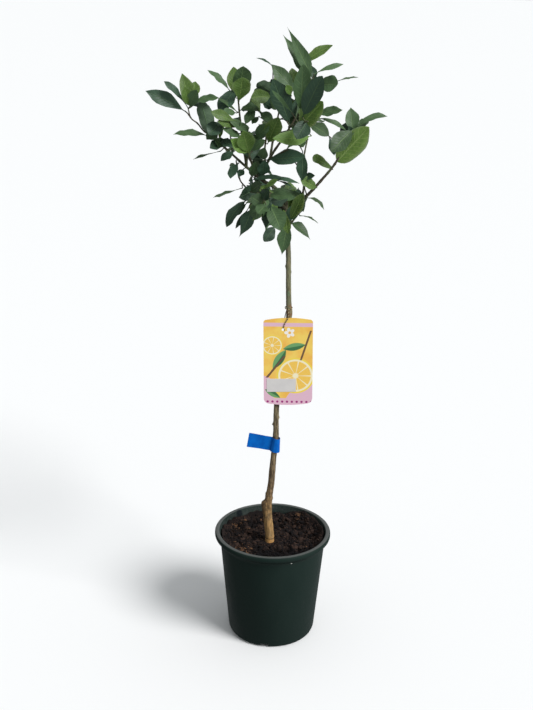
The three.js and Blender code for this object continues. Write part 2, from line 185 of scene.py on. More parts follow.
class Shop:
    """Shapes meshes and turns them into pieces of the model."""

    @staticmethod
    def publish(
        mesh: bpy.types.Mesh,
        slot: str,
        materials: Sequence[bpy.types.Material],
        stands_for: Sequence[str] = (),
        sharp: float = 40,
    ) -> None:
        """Links a mesh as a piece that rides on the one body.

        Args:
            mesh: The finished mesh, in metres and in place. Its name becomes the piece's.
            slot: The piece's material slot; not used.
            materials: The piece's finishes, in the order of its faces' indices.
            stands_for: The frame's nodes that the piece replaces.
            sharp: Edges sharper than this many degrees stay hard.
        """
        mesh.shade_smooth()
        mesh.set_sharp_from_angle(angle=math.radians(sharp))
        for material in materials:
            mesh.materials.append(material)
        piece = link(mesh.name, mesh)
        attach(piece, "root")
        if stands_for:
            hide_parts(*stands_for)
        log.info("%s: %d faces", piece.name, len(mesh.polygons))

    @staticmethod
    def from_bmesh(name: str, shape: bmesh.types.BMesh) -> bpy.types.Mesh:
        """A mesh in metres from a shape in millimetres, faces outwards. The shape is freed.

        Args:
            name: The mesh's name.
            shape: The shape.

        Returns:
            The new mesh.
        """
        bmesh.ops.recalc_face_normals(shape, faces=shape.faces)
        bmesh.ops.scale(shape, vec=(MM, MM, MM), verts=shape.verts)
        mesh = bpy.data.meshes.new(name)
        shape.to_mesh(mesh)
        shape.free()
        return mesh

    @staticmethod
    def from_arrays(name: str, vertices: list[np.ndarray], faces: list[tuple[int, ...]]) -> bpy.types.Mesh:
        """A mesh in metres from joined rows in millimetres.

        Args:
            name: The mesh's name.
            vertices: Groups of places.
            faces: Each face, as numbers of the places in all groups together.

        Returns:
            The new mesh.
        """
        mesh = bpy.data.meshes.new(name)
        mesh.from_pydata((np.vstack(vertices) * MM).tolist(), [], faces)
        mesh.update()
        return mesh

    @staticmethod
    def chain(shape: bmesh.types.BMesh, points: Sequence[Point]) -> tuple[list, list]:
        """Adds vertices at the points and edges between them, and returns both."""
        verts = [shape.verts.new(point) for point in points]
        return verts, [shape.edges.new(pair) for pair in zip(verts, verts[1:])]

    @staticmethod
    def drawn(shape: bmesh.types.BMesh, edges: list[bmesh.types.BMEdge]) -> tuple[set, list]:
        """Extrudes edges where they are.

        Args:
            shape: The shape that they belong to.
            edges: The edges.

        Returns:
            The new vertices, and the new row of edges.
        """
        made = bmesh.ops.extrude_edge_only(shape, edges=edges)["geom"]
        fresh = {part for part in made if isinstance(part, bmesh.types.BMVert)}
        return fresh, [e for e in made if isinstance(e, bmesh.types.BMEdge) and set(e.verts) <= fresh]

    @staticmethod
    def spun(section: Sequence[Pixel], steps: int) -> bmesh.types.BMesh:
        """A section of radii and heights, spun once round Z.

        Args:
            section: Radius and height of each corner.
            steps: Faces round the turn.

        Returns:
            The shape, in millimetres.
        """
        shape = bmesh.new()
        verts, edges = Shop.chain(shape, [(r, 0.0, z) for r, z in section])
        bmesh.ops.spin(
            shape, geom=[*verts, *edges], cent=(0, 0, 0), axis=(0, 0, 1), angle=math.tau, steps=steps,
            use_merge=True,
        )
        bmesh.ops.remove_doubles(shape, verts=shape.verts, dist=1e-3)
        return shape

    @staticmethod
    def swept(line: np.ndarray, radius: Callable[[int, float], float], sides: int) -> bmesh.types.BMesh:
        """A closed tube with a domed far end, whose radius may change along it and round it.

        Args:
            line: The middle line.
            radius: Gives the radius for a step and an angle in radians.
            sides: Faces round the tube.

        Returns:
            The tube, in millimetres.
        """
        frames = rolling_frames(line)
        shape = bmesh.new()
        ring = bmesh.ops.create_circle(shape, segments=sides, radius=1.0)["verts"]
        edges = list(shape.edges)
        rings = [ring]
        for _ in line[1:]:
            fresh, edges = Shop.drawn(shape, edges)
            ring = [
                next(e.other_vert(old) for e in old.link_edges if e.other_vert(old) in fresh) for old in ring
            ]
            rings.append(ring)
        for step, (ring, centre, (_, side, up)) in enumerate(zip(rings, line, frames)):
            for k, vert in enumerate(ring):
                angle = math.tau * k / sides
                vert.co = centre + spoke(side, up, angle) * radius(step, angle)
        near, far = (
            [edge for edge in shape.edges if edge.is_boundary and set(edge.verts) <= set(ring)]
            for ring in (rings[0], rings[-1])
        )
        bmesh.ops.edgeloop_fill(shape, edges=near)
        tip, far = Shop.drawn(shape, far)
        middle = Vector(line[-1] + frames[-1][0] * radius(len(line) - 1, 0.0) * 0.5)
        for vert in tip:
            vert.co = vert.co.lerp(middle, 0.55)
        bmesh.ops.edgeloop_fill(shape, edges=far)
        return shape


# Shader maths


def _operator(operation: str, swapped: bool = False) -> Callable[..., "Signal"]:
    """A method that adds one Math node.

    Args:
        operation: The node's operation.
        swapped: Whether the other value comes first.

    Returns:
        The method.
    """
    def method(self: "Signal", *others: "Signal | float") -> "Signal":
        """Works on this value and the others.

        Args:
            others: The other values.

        Returns:
            The result.
        """
        operands = (*others, self) if swapped else (self, *others)
        made = self.bench.node("ShaderNodeMath", {"operation": operation}, dict(enumerate(operands)))
        return Signal(self.bench, made.outputs[0])

    return method


class Signal:
    """A shader value that takes part in ordinary arithmetic."""

    __add__ = __radd__ = _operator("ADD")
    __sub__ = _operator("SUBTRACT")
    __rsub__ = _operator("SUBTRACT", swapped=True)
    __mul__ = __rmul__ = _operator("MULTIPLY")
    __abs__ = _operator("ABSOLUTE")
    root = _operator("SQRT")
    fraction = _operator("FRACT")
    sine = _operator("SINE")
    turn_of = _operator("ARCTAN2")

    def __init__(self, bench: "Bench", socket: bpy.types.NodeSocket) -> None:
        """Wraps a socket of the bench's material."""
        self.bench = bench
        self.socket = socket

    def ramp(self, low: float, high: float) -> "Signal":
        """Rises smoothly from 0 to 1, or falls where high is the lesser.

        Args:
            low: Where it is 0.
            high: Where it is 1.

        Returns:
            The rise.
        """
        first, last = sorted((low, high))
        made = self.bench.node(
            "ShaderNodeMapRange",
            {"interpolation_type": "SMOOTHSTEP"},
            {"Value": self.socket, "From Min": first, "From Max": last},
        )
        rise = Signal(self.bench, made.outputs[0])
        return 1 - rise if high < low else rise

    def band(self, start: float, full: float, fading: float, end: float) -> "Signal":
        """Rises from start to full and falls again from fading to end."""
        return self.ramp(start, full) * self.ramp(end, fading)


def away(place: Sequence[Signal], spot: Sequence[float], weights: Sequence[float] = (1, 1, 1)) -> Signal:
    """Distance from a spot.

    Args:
        place: The coordinates.
        spot: The spot, with as many coordinates.
        weights: How much each coordinate's square counts.

    Returns:
        The distance.
    """
    gaps = [here - there for here, there in zip(place, spot)]
    squares = [gap * gap if weight == 1 else gap * gap * weight for gap, weight in zip(gaps, weights)]
    return sum(squares[1:], squares[0]).root()


class Bench:
    """Builds one material, or the world, from nodes."""

    def __init__(self, name: str, owner: bpy.types.World | None = None) -> None:
        """Starts without nodes.

        Args:
            name: The name of the new material.
            owner: The world to build instead of a material.
        """
        self.owner = owner or bpy.data.materials.new(name)
        self.owner.use_nodes = True
        self.tree = self.owner.node_tree
        self.tree.nodes.clear()

    def node(
        self,
        kind: str,
        settings: dict[str, object] | None = None,
        sockets: dict[int | str, object] | None = None,
    ) -> bpy.types.Node:
        """Adds a node.

        Args:
            kind: The node's type.
            settings: Its properties, set first.
            sockets: Values or links of its inputs, by name or number.

        Returns:
            The node.
        """
        made = self.tree.nodes.new(kind)
        for key, value in (settings or {}).items():
            setattr(made, key, value)
        for key, value in (sockets or {}).items():
            if isinstance(value, Signal):
                value = value.socket
            if isinstance(value, bpy.types.NodeSocket):
                self.tree.links.new(value, made.inputs[key])
            else:
                made.inputs[key].default_value = value
        return made

    def split(self, where: bpy.types.NodeSocket) -> list[Signal]:
        """The three parts of a vector."""
        return [Signal(self, part) for part in self.node("ShaderNodeSeparateXYZ", None, {0: where}).outputs]

    def place(self) -> list[Signal]:
        """The three object coordinates, in millimetres."""
        return [part * (1 / MM) for part in self.split(self.node("ShaderNodeTexCoord").outputs["Object"])]

    def map_of(self, name: str) -> list[Signal]:
        """The two coordinates of a UV map."""
        return self.split(self.node("ShaderNodeUVMap", {"uv_map": name}).outputs[0])[:2]

    def attribute(self, name: str) -> Signal:
        """A number that the mesh carries."""
        return Signal(self, self.node("ShaderNodeAttribute", {"attribute_name": name}).outputs["Fac"])

    def stretched(self, stretch: Point) -> bpy.types.NodeSocket:
        """Object coordinates for a pattern.

        Args:
            stretch: How much longer the pattern is along each axis.

        Returns:
            The link of the coordinates.
        """
        where = self.node("ShaderNodeTexCoord").outputs["Object"]
        scale = tuple(1 / s for s in stretch)
        return self.node("ShaderNodeMapping", None, {"Vector": where, "Scale": scale}).outputs[0]

    def grain(
        self, size: float, detail: float = 3.0, stretch: Point = (1, 1, 1), rough: float = 0.55
    ) -> Signal:
        """Noise from 0 to 1.

        Args:
            size: Size of a blotch in millimetres.
            detail: Octaves of finer noise.
            stretch: How much longer blotches are along each axis.
            rough: How strong the finer octaves are.

        Returns:
            The noise.
        """
        scale = 1 / (size * MM)
        sockets = {"Vector": self.stretched(stretch), "Scale": scale, "Detail": detail, "Roughness": rough}
        return Signal(self, self.node("ShaderNodeTexNoise", None, sockets).outputs[0])

    def cells(self, size: float, stretch: Point = (1, 1, 1)) -> Signal:
        """Distance to the nearest cell's middle, for specks and pores of a size in millimetres."""
        sockets = {"Vector": self.stretched(stretch), "Scale": 1 / (size * MM)}
        return Signal(self, self.node("ShaderNodeTexVoronoi", None, sockets).outputs["Distance"])

    def blend(self, share: Signal | float, first: object, second: object) -> bpy.types.NodeSocket:
        """A colour between two, first at 0 and second at 1."""
        return self.node("ShaderNodeMix", {"data_type": "RGBA"}, {0: share, 6: first, 7: second}).outputs[2]

    def relief(self, height: Signal, depth: float, strength: float = 1.0) -> bpy.types.NodeSocket:
        """A bumped normal for a height and a depth in millimetres."""
        sockets = {"Height": height, "Distance": depth * MM, "Strength": strength}
        return self.node("ShaderNodeBump", None, sockets).outputs[0]

    def close(self, kind: str, shader: bpy.types.Node) -> None:
        """Links a shader to an output node of a kind."""
        self.tree.links.new(shader.outputs[0], self.node(kind).inputs[0])

    def finish(
        self, base: object, roughness: object, normal: object = None, **further: object
    ) -> bpy.types.Material:
        """Closes the material with its one shader.

        Args:
            base: Base colour or its link.
            roughness: Roughness or its link.
            normal: Link of a bumped normal.
            further: Further sockets, with underscores for spaces.

        Returns:
            The material.
        """
        sockets = {"Base Color": base, "Roughness": roughness}
        if normal is not None:
            sockets["Normal"] = normal
        sockets |= {key.replace("_", " "): value for key, value in further.items()}
        self.close("ShaderNodeOutputMaterial", self.node("ShaderNodeBsdfPrincipled", None, sockets))
        return self.owner


# Finishes


@dataclass(frozen=True)
class PotPlastic:
    """Thin moulded nursery plastic, almost black, pale along its lip from scuffs and a painted highlight."""

    body: Colour = tint(26, 40, 36)
    cloudy: Colour = tint(32, 45, 41)
    # Pale grey of the lip band: scuffs, with a painted highlight where light falls on the lip's top.
    worn: Colour = tint(86, 88, 86)
    dust: Colour = tint(70, 62, 54)
    pale_speck: Colour = tint(214, 214, 208)
    # Place of the small pale speck just under the lip.
    chip: Point = (31.6, -85.4, 173.3)
    dark_patch: Colour = tint(14, 20, 26)
    dark_patch_spot: Point = (-58.0, 66.0, 184.0)
    lip_from: float = 189.0
    # How far the lip band's lower edge rises at the front: painted shade there.
    front_shade_lift: float = 0.2
    lip_radius: float = 91.6

    def material(self) -> bpy.types.Material:
        """Builds the finish.

        Returns:
            Its material.
        """
        bench = Bench("pot_plastic")
        x, y, z = bench.place()
        rim, reach = self.lip_radius, away((x, y), (0, 0))
        # Painted highlight and painted shade: the pale band on the lip's top is partly scuffs and partly a
        # painted highlight, and it is raised and narrowed at the front, where shade falls.
        risen = z - y.ramp(-30, -78) * self.front_shade_lift
        lip = risen.ramp(self.lip_from, self.lip_from + 0.9) * reach.ramp(rim, rim + 1.5)
        scuffs = bench.grain(3.0, 5, rough=0.7).ramp(0.36, 0.72)
        clouds = bench.grain(38, 3, (1, 1, 2.2)).ramp(0.3, 0.7)
        splash = bench.cells(9).ramp(0.13, 0.05) * bench.grain(30).ramp(0.52, 0.66)
        inner = (1 - reach.ramp(rim - 1, rim + 1)) * z.ramp(168, 182)
        base = bench.blend(clouds * 0.7, self.body, self.cloudy)
        base = bench.blend(lip * (0.72 + 0.26 * scuffs), base, self.worn)
        base = bench.blend(inner * (0.1 + 0.4 * scuffs), base, self.worn)
        base = bench.blend(splash * 0.5, base, self.dust)
        # A soft dark blotch on the inner wall at the back left.
        dark_patch_spot = away((x, y, z), self.dark_patch_spot, (1, 1, 0.5)).ramp(9.0, 5.0)
        base = bench.blend(dark_patch_spot * 0.8, base, self.dark_patch)
        # A small near-white speck just under the lip.
        base = bench.blend(away((x, y, z), self.chip, (1, 0.3, 2)).ramp(1.7, 1.0), base, self.pale_speck)
        rough = 0.46 + 0.14 * clouds + 0.1 * scuffs
        rings = (z * 2.1).sine() * 0.25
        normal = bench.relief(bench.grain(1.6, 4) + rings * z.ramp(12, 30), 0.10, 0.55)
        return bench.finish(
            base, rough, normal, Specular_IOR_Level=0.06, Coat_Weight=lip * 0.5, Coat_Roughness=0.3
        )


@dataclass(frozen=True)
class Peat:
    """Moist compost: fibres and crumbs between near black and brown, with painted shade in its hollows and
    along the front.
    """

    name: str
    dark: Colour
    light: Colour
    size: float = 3.0
    roughness: float = 0.95
    painted_shade: Colour = tint(8, 7, 9)
    shaded_pit: tuple[float, float] = (-36.0, 56.0)

    def material(self) -> bpy.types.Material:
        """Builds the finish.

        Returns:
            Its material.
        """
        bench = Bench(self.name)
        lumps = bench.grain(self.size, 6, rough=0.7)
        fibres = bench.grain(1.1, 3, (1, 3.5, 1))
        base = bench.blend((lumps * 0.7 + fibres * 0.3).ramp(0.34, 0.68), self.dark, self.light)
        x, y, _ = bench.place()
        # Painted shade: dark blotches for shaded hollows, the rim's shadow along the front and a shaded
        # hollow at the back left.
        hollows = bench.grain(17, 3).ramp(0.53, 0.63) * 0.62
        front = y.ramp(-25, -41) * x.ramp(-46, -20) * 0.9
        shaded_pit = away((x, y), self.shaded_pit, (1, 0.6)).ramp(12, 6) * 0.85
        for share in (hollows, front, shaded_pit):
            base = bench.blend(share, base, self.painted_shade)
        normal = bench.relief(lumps * 0.7 + fibres * 0.5, 0.9)
        return bench.finish(base, self.roughness, normal, Specular_IOR_Level=0.2)


@dataclass(frozen=True)
class StemBark:
    """Young bark: tan at the ground, brown-olive above it and greener towards the crown."""

    foot: Colour = tint(196, 146, 86)
    tan: Colour = tint(188, 148, 94)
    low: Colour = tint(128, 107, 80)
    high: Colour = tint(121, 121, 92)
    crack: Colour = tint(62, 50, 38)
    pale: Colour = tint(164, 146, 112)
    sore: Colour = tint(136, 92, 60)
    lichen: Colour = tint(134, 158, 120)
    lichen_spot: tuple[float, float] = (18.9, 617.0)
    ground: float = 167.0
    ring: float = 175.0

    def material(self) -> bpy.types.Material:
        """Builds the finish.

        Returns:
            Its material.
        """
        bench = Bench("stem_bark")
        x, _, z = bench.place()
        base = bench.blend(z.ramp(240, 620), self.low, self.high)
        base = bench.blend(z.ramp(292, 206) * 0.85, base, self.tan)
        base = bench.blend(z.ramp(self.ring + 6, self.ground + 1), base, self.foot)
        streaks = bench.grain(2.4, 5, (1, 1, 9), 0.65)
        cracks = streaks.ramp(0.5, 0.36)
        flecks = bench.cells(5, (1, 1, 1.8)).ramp(0.2, 0.08) * bench.grain(12).ramp(0.5, 0.62)
        mottle = bench.grain(9, 4, (1, 1, 3))
        worn = bench.grain(3.4, 4, (1, 1, 1.7)).ramp(0.42, 0.6) * z.band(194, 216, 262, 330)
        stub_shade = x.ramp(-11, -17) * z.band(206, 224, 246, 262)
        groove = z.band(self.ring - 1.6, self.ring - 0.4, self.ring + 0.2, self.ring + 1.4)
        rubbed = z.band(574, 582, 594, 601) * bench.grain(5, 3).ramp(0.4, 0.55)
        spot = away((x, z), self.lichen_spot, (1, 0.2)).ramp(2.8, 1.0)
        for share, colour in (
            (cracks * (0.35 + 0.65 * z.ramp(215, 310) - 0.6 * z.ramp(380, 640)), self.crack),
            (mottle.ramp(0.52, 0.74) * 0.55, self.pale),
            (flecks * 0.7, self.pale),
            (worn * 0.6, self.crack),
            (stub_shade * 0.6, self.crack),
            (groove * 0.75, self.crack),
            (rubbed * 0.75, self.sore),
            (spot * 0.7, self.lichen),
        ):
            base = bench.blend(share, base, colour)
        normal = bench.relief(streaks - cracks * 0.6 + mottle * 0.4, 1.1)
        return bench.finish(base, 0.78 - 0.12 * z.ramp(400, 640), normal, Specular_IOR_Level=0.35)


@dataclass(frozen=True)
class YoungBark:
    """Green bark of boughs and twigs, browner and darker in places."""

    green: Colour = tint(88, 94, 64)
    brown: Colour = tint(68, 60, 46)
    knot: Colour = tint(128, 130, 90)

    def material(self) -> bpy.types.Material:
        """Builds the finish.

        Returns:
            Its material.
        """
        bench = Bench("young_bark")
        specks = bench.cells(3.2).ramp(0.22, 0.1)
        base = bench.blend(bench.grain(14, 4).ramp(0.38, 0.62), self.green, self.brown)
        base = bench.blend(specks * 0.35, base, self.knot)
        normal = bench.relief(bench.grain(1.5, 4, (1, 1, 3)) + specks * 0.5, 0.3)
        return bench.finish(base, 0.6, normal, Specular_IOR_Level=0.4)


class Tone(Enum):
    """Colours that leaves are dealt: top, underside and midrib."""

    DEEP = (tint(54, 79, 60), tint(84, 103, 82), tint(88, 116, 78))
    LEAFY = (tint(72, 98, 63), tint(96, 115, 87), tint(110, 136, 86))
    FRESH = (tint(86, 115, 53), tint(108, 130, 84), tint(134, 160, 86))
    # The palest tone is a young-leaf green, brightened as painted light shining through a backlit leaf.
    PALE = (tint(134, 169, 86), tint(128, 150, 92), tint(178, 202, 126))


@dataclass(frozen=True)
class LeafSkin:
    """One side of a leaf: leathery and shining above, matt and paler below."""

    tone: Tone
    underside: bool

    def material(self) -> bpy.types.Material:
        """Builds the finish.

        Returns:
            Its material.
        """
        below = self.underside
        bench = Bench(f"leaf_{self.tone.name.lower()}_{'under' if below else 'top'}")
        top, under, rib = self.tone.value
        u, v = bench.map_of("leaf")
        side = abs(u - 0.5) * 2
        midrib = (side + v * 0.035).ramp(0.105, 0.035)
        veins = abs((v * 10 - side * 1.9).fraction() - 0.5) * 2
        veins = veins.ramp(0.78, 0.97) * side.ramp(1.0, 0.55) * v.ramp(0.12, 0.2)
        mottle = bench.grain(9, 4)
        flesh = (under if below else top)[:3]
        darker, lighter = ((*(min(1.0, part * by) for part in flesh), 1.0) for by in (0.62, 1.42))
        # Painted light and shade: each leaf's own value, partly its own tone and partly painted light and
        # shade for how lit it stands, picks its colour between darker and lighter.
        base = bench.blend(bench.attribute("own") + (mottle - 0.5) * 0.8, darker, lighter)
        base = bench.blend(midrib * (0.8 if below else 0.6), base, rib)
        base = bench.blend(veins * (0.45 if below or self.tone is Tone.PALE else 0.34), base, rib)
        swell = midrib * (1.0 if below else -0.8) + veins * (0.5 if below else -0.45)
        glows = not below and self.tone in (Tone.FRESH, Tone.PALE)
        return bench.finish(
            base,
            (0.62 if below else 0.42) + 0.1 * mottle,
            bench.relief(swell + mottle * 0.5, 0.4),
            Specular_IOR_Level=0.14 if below else 0.3,
            Subsurface_Weight=0.25 if glows else 0.0,
            Subsurface_Radius=(0.9, 1.0, 0.6),
            Subsurface_Scale=0.002,
        )


@dataclass(frozen=True)
class CardPrint:
    """A printed card: citrus slices and leaves on warm yellow, with soft pink bands.

    A slice is its middle and radius, a leaf its middle, half length, half width and lean in
    degrees, a twig the place, lean, half width, foot and top of its line, and a disc its middle
    and radius.
    """

    slices: tuple[Point, ...] = ((33.0, 478.0, 31.0), (-6.0, 530.0, 17.0))
    leaves: tuple[tuple[float, ...], ...] = (
        (6, 506, 20, 7.5, 58), (30, 528, 19, 6.5, 12), (-4, 446, 15, 5, 150),
    )
    twigs: tuple[tuple[float, ...], ...] = ((41, 0.3, 1.7, 505, 556), (-14, 0.75, 2.2, 474, 512))
    discs: tuple[Point, ...] = ((58, 420, 44), (-24, 452, 26))
    upper_band: tuple[float, float] = (562.0, 569.0)
    lower_band: float = 438.5
    flower: tuple[float, float] = (22.0, 552.0)
    berry_line: float = 432.0
    berry_step: float = 8.0
    ground: Colour = tint(252, 216, 104)
    warm: Colour = tint(248, 188, 84)
    peel: Colour = tint(250, 220, 84)
    pith: Colour = tint(252, 242, 206)
    pulp: Colour = tint(250, 206, 92)
    blush: Colour = tint(232, 190, 208)
    leaf: Colour = tint(112, 166, 106)
    leaf_dark: Colour = tint(62, 118, 72)
    umber: Colour = tint(122, 90, 68)
    bark: Colour = tint(74, 56, 48)
    petal: Colour = tint(250, 246, 240)
    berry: Colour = tint(164, 44, 124)

    def _slice(
        self, bench: Bench, x: Signal, z: Signal, fruit: Point, under: object
    ) -> bpy.types.NodeSocket:
        """A cut fruit drawn over a colour.

        Args:
            bench: The material's bench.
            x: The coordinate across the card.
            z: The coordinate up the card.
            fruit: Middle and radius.
            under: The colour that it covers.

        Returns:
            The colour with the fruit on it.
        """
        radius = fruit[2]
        dx, dz = x - fruit[0], z - fruit[1]
        reach = (dx * dx + dz * dz).root()
        spokes = abs((dz.turn_of(dx) * (9 / math.tau)).fraction() - 0.5) * 2
        wedge = spokes.ramp(0.95, 0.82) * reach.ramp(radius * 0.1, radius * 0.2)
        wedge = wedge * reach.ramp(radius * 0.83, radius * 0.79)
        flecks = bench.grain(2.4, 2).ramp(0.45, 0.62) * 0.45
        face = bench.blend(wedge, self.pith, bench.blend(flecks, self.pulp, self.warm))
        rind = bench.blend(reach.ramp(radius * 0.90, radius * 0.92), face, self.peel)
        return bench.blend(reach.ramp(radius + 0.2, radius - 0.2), under, rind)

    def _leaf(
        self, bench: Bench, x: Signal, z: Signal, blade: Sequence[float], under: object
    ) -> bpy.types.NodeSocket:
        """A pointed leaf drawn over a colour.

        Args:
            bench: The material's bench.
            x: The coordinate across the card.
            z: The coordinate up the card.
            blade: Middle, half length, half width and lean in degrees.
            under: The colour that it covers.

        Returns:
            The colour with the leaf on it.
        """
        u, w, half, width, lean = blade
        cosine, sine = math.cos(math.radians(lean)), math.sin(math.radians(lean))
        dx, dz = x - u, z - w
        long, wide = dx * cosine + dz * sine, dz * cosine - dx * sine
        share = long * (1 / half)
        edge = (1 - share * share) * width - abs(wide)
        shade = bench.blend(wide.ramp(-0.3, 0.3), self.leaf_dark, self.leaf)
        return bench.blend(edge.ramp(0.0, 0.3), under, shade)

    def material(self) -> bpy.types.Material:
        """Builds the finish.

        Returns:
            Its material.
        """
        bench = Bench("card_print")
        x, _, z = bench.place()
        base = bench.blend(bench.grain(26, 4).ramp(0.35, 0.7), self.ground, self.warm)
        for u, w, radius in self.discs:
            base = bench.blend(away((x, z), (u, w)).ramp(radius, radius - 0.6), base, self.blush)
        for fruit in self.slices:
            base = self._slice(bench, x, z, fruit, base)
        for blade in self.leaves:
            base = self._leaf(bench, x, z, blade, base)
        low, top = self.upper_band
        base = bench.blend(z.band(low, low + 0.6, top - 0.6, top), base, self.blush)
        base = bench.blend(z.ramp(self.lower_band, self.lower_band - 0.6), base, self.blush)
        for foot, lean, wide, low, top in self.twigs:
            off = abs(x - foot - (z - low) * lean) + bench.grain(6, 2) * 0.6
            twig = off.ramp(wide + 0.4, wide) * z.band(low - 0.5, low + 0.5, top - 0.5, top + 0.5)
            base = bench.blend(twig, base, bench.blend(off.ramp(wide * 0.35, wide), self.umber, self.bark))
        dx, dz = x - self.flower[0], z - self.flower[1]
        reach = (dx * dx + dz * dz).root()
        lobe = 4.2 + 4.6 * abs((dz.turn_of(dx) * 2.5).sine())
        base = bench.blend((lobe - reach).ramp(-0.3, 0.3), base, self.petal)
        base = bench.blend(reach.ramp(2.6, 2.2), base, self.warm)
        along = ((x * (1 / self.berry_step)).fraction() - 0.5) * self.berry_step
        base = bench.blend(away((along, z), (0, self.berry_line)).ramp(2.1, 1.8), base, self.berry)
        return bench.finish(base, 0.34, bench.relief(bench.grain(20, 2), 0.05), Specular_IOR_Level=0.45)


@dataclass(frozen=True)
class PlainSkin:
    """A simple finish with a faint grain: paper, film or string."""

    name: str
    colour: Colour
    second: Colour
    size: float
    roughness: float
    depth: float = 0.05
    specular: float = 0.4

    def material(self) -> bpy.types.Material:
        """Builds the finish.

        Returns:
            Its material.
        """
        bench = Bench(self.name)
        grain = bench.grain(self.size, 4)
        base = bench.blend(grain.ramp(0.3, 0.7), self.colour, self.second)
        normal = bench.relief(grain, self.depth)
        return bench.finish(base, self.roughness, normal, Specular_IOR_Level=self.specular)


STICKER_PAPER = PlainSkin("sticker_paper", tint(214, 210, 208), tint(220, 216, 213), 12, 0.5, 0.02)
DARK_STRAND = PlainSkin("dark_strand", tint(70, 46, 36), tint(34, 24, 20), 0.8, 0.8, 0.1)
PALE_STRAND = PlainSkin("pale_strand", tint(196, 178, 132), tint(150, 128, 88), 0.8, 0.7, 0.1)
BLUE_FILM = PlainSkin("blue_film", tint(0, 86, 174), tint(2, 104, 194), 16, 0.4, 0.06, 0.1)


# Pot and compost


@dataclass
class Pot:
    """The tapered nursery pot with its flared lip and the notches under its edge."""

    height: float = 190.0
    rim_radius: float = 100.0
    lip_height: float = 12.0
    lip_round: float = 3.2
    lip_thick: float = 3.0
    body_top: float = 90.8
    base_radius: float = 75.5
    corner: float = 7.0
    wall: float = 1.8
    segments: int = 144
    notch_count: int = 4
    notch_width: float = 15.0
    notch_height: float = 7.0
    notch_depth: float = 15.0
    notch_first: float = -99.4
    notch_round: float = 1.4

    def inside(self, z: float) -> float:
        """Radius of the inner wall at a height."""
        share = (z - self.corner) / (self.height - self.lip_height - self.corner)
        return self.base_radius + (self.body_top - self.base_radius) * share - self.wall

    def outline(self) -> list[tuple[float, float]]:
        """The section, from the axis below to the axis inside.

        Returns:
            Radius and height of each corner.
        """
        lip = self.height - self.lip_height
        foot, body, rim = self.base_radius, self.body_top, self.rim_radius
        inner = body + self.lip_thick
        base, edge, shoulder = ([math.radians(90 * k / n) for k in range(n + 1)] for n in (6, 5, 3))
        points = [(0.0, 0.0), (foot - self.corner - 8, 0.0)]
        points += [
            (foot - 1 - self.corner + (self.corner + 0.2) * math.sin(a), self.corner * (1 - math.cos(a)))
            for a in base
        ]
        points += [(foot, self.corner + 1), (body - 0.6, lip - 9)]
        points += [
            (body + (rim - body) * (1 - math.cos(math.pi * k / 6)) / 2, lip - 6 + self.lip_height * (k / 6))
            for k in range(7)
        ]
        points += [
            (rim - self.lip_round * (1 - math.cos(a)), self.height - self.lip_round * (1 - math.sin(a)))
            for a in edge
        ]
        points += [(inner, self.height)]
        points += [(inner - 2.4 * math.sin(a), self.height - 1.8 * (1 - math.cos(a))) for a in shoulder[1:]]
        points += [(body - self.wall, lip - 2), (self.inside(self.corner + 2), self.corner + 2)]
        return points + [(foot - self.corner - 2, self.wall), (0.0, self.wall)]

    def build(self, finish: bpy.types.Material) -> None:
        """Spins the section, cuts the notches and dresses the pot.

        Args:
            finish: The pot's material.
        """
        cutter = bmesh.new()
        for k in range(self.notch_count):
            angle = math.radians(self.notch_first + 360 * k / self.notch_count)
            turn = Matrix.Rotation(angle, 4, "Z") @ Matrix.Translation((self.base_radius, 0, 0))
            size = Matrix.Diagonal((2 * self.notch_depth, self.notch_width, 2 * self.notch_height, 1.0))
            bmesh.ops.create_cube(cutter, size=1.0, matrix=turn @ size)
        bmesh.ops.bevel(
            cutter, geom=list(cutter.edges), offset=self.notch_round, offset_type="OFFSET", segments=3,
            profile=0.5, affect="EDGES", material=-1,
        )
        mesh = Shop.from_bmesh("pot_blank", Shop.spun(self.outline(), self.segments))
        mesh = self._cut(mesh, Shop.from_bmesh("notch_cutter", cutter))
        mesh.name = "pot_shell"
        Shop.publish(mesh, "pot_plastic", [finish], ["pot"], 35)

    @staticmethod
    def _cut(mesh: bpy.types.Mesh, tool: bpy.types.Mesh) -> bpy.types.Mesh:
        """Takes one mesh away from another.

        Args:
            mesh: The mesh to cut.
            tool: What is taken away.

        Returns:
            The cut mesh.
        """
        whole, cutter = (link(m.name, m) for m in (mesh, tool))
        cut = whole.modifiers.new("notches", "BOOLEAN")
        cut.operation, cut.solver, cut.object = "DIFFERENCE", "EXACT", cutter
        result = bpy.data.meshes.new_from_object(whole.evaluated_get(bpy.context.evaluated_depsgraph_get()))
        for spare in (whole, cutter):
            bpy.data.objects.remove(spare)
        return result


@dataclass(frozen=True)
class Crumbs:
    """One kind of crumb on the compost.

    Flat and long are its thickness and length as multiples of its size, sink says how deep it
    sits as a share of its thickness, and beds are the places where most of its kind lie.
    """

    name: str
    count: int
    sizes: tuple[float, float]
    flat: float
    long: float
    finish: Peat
    sink: float = 0.3
    beds: tuple[Point, ...] = ()


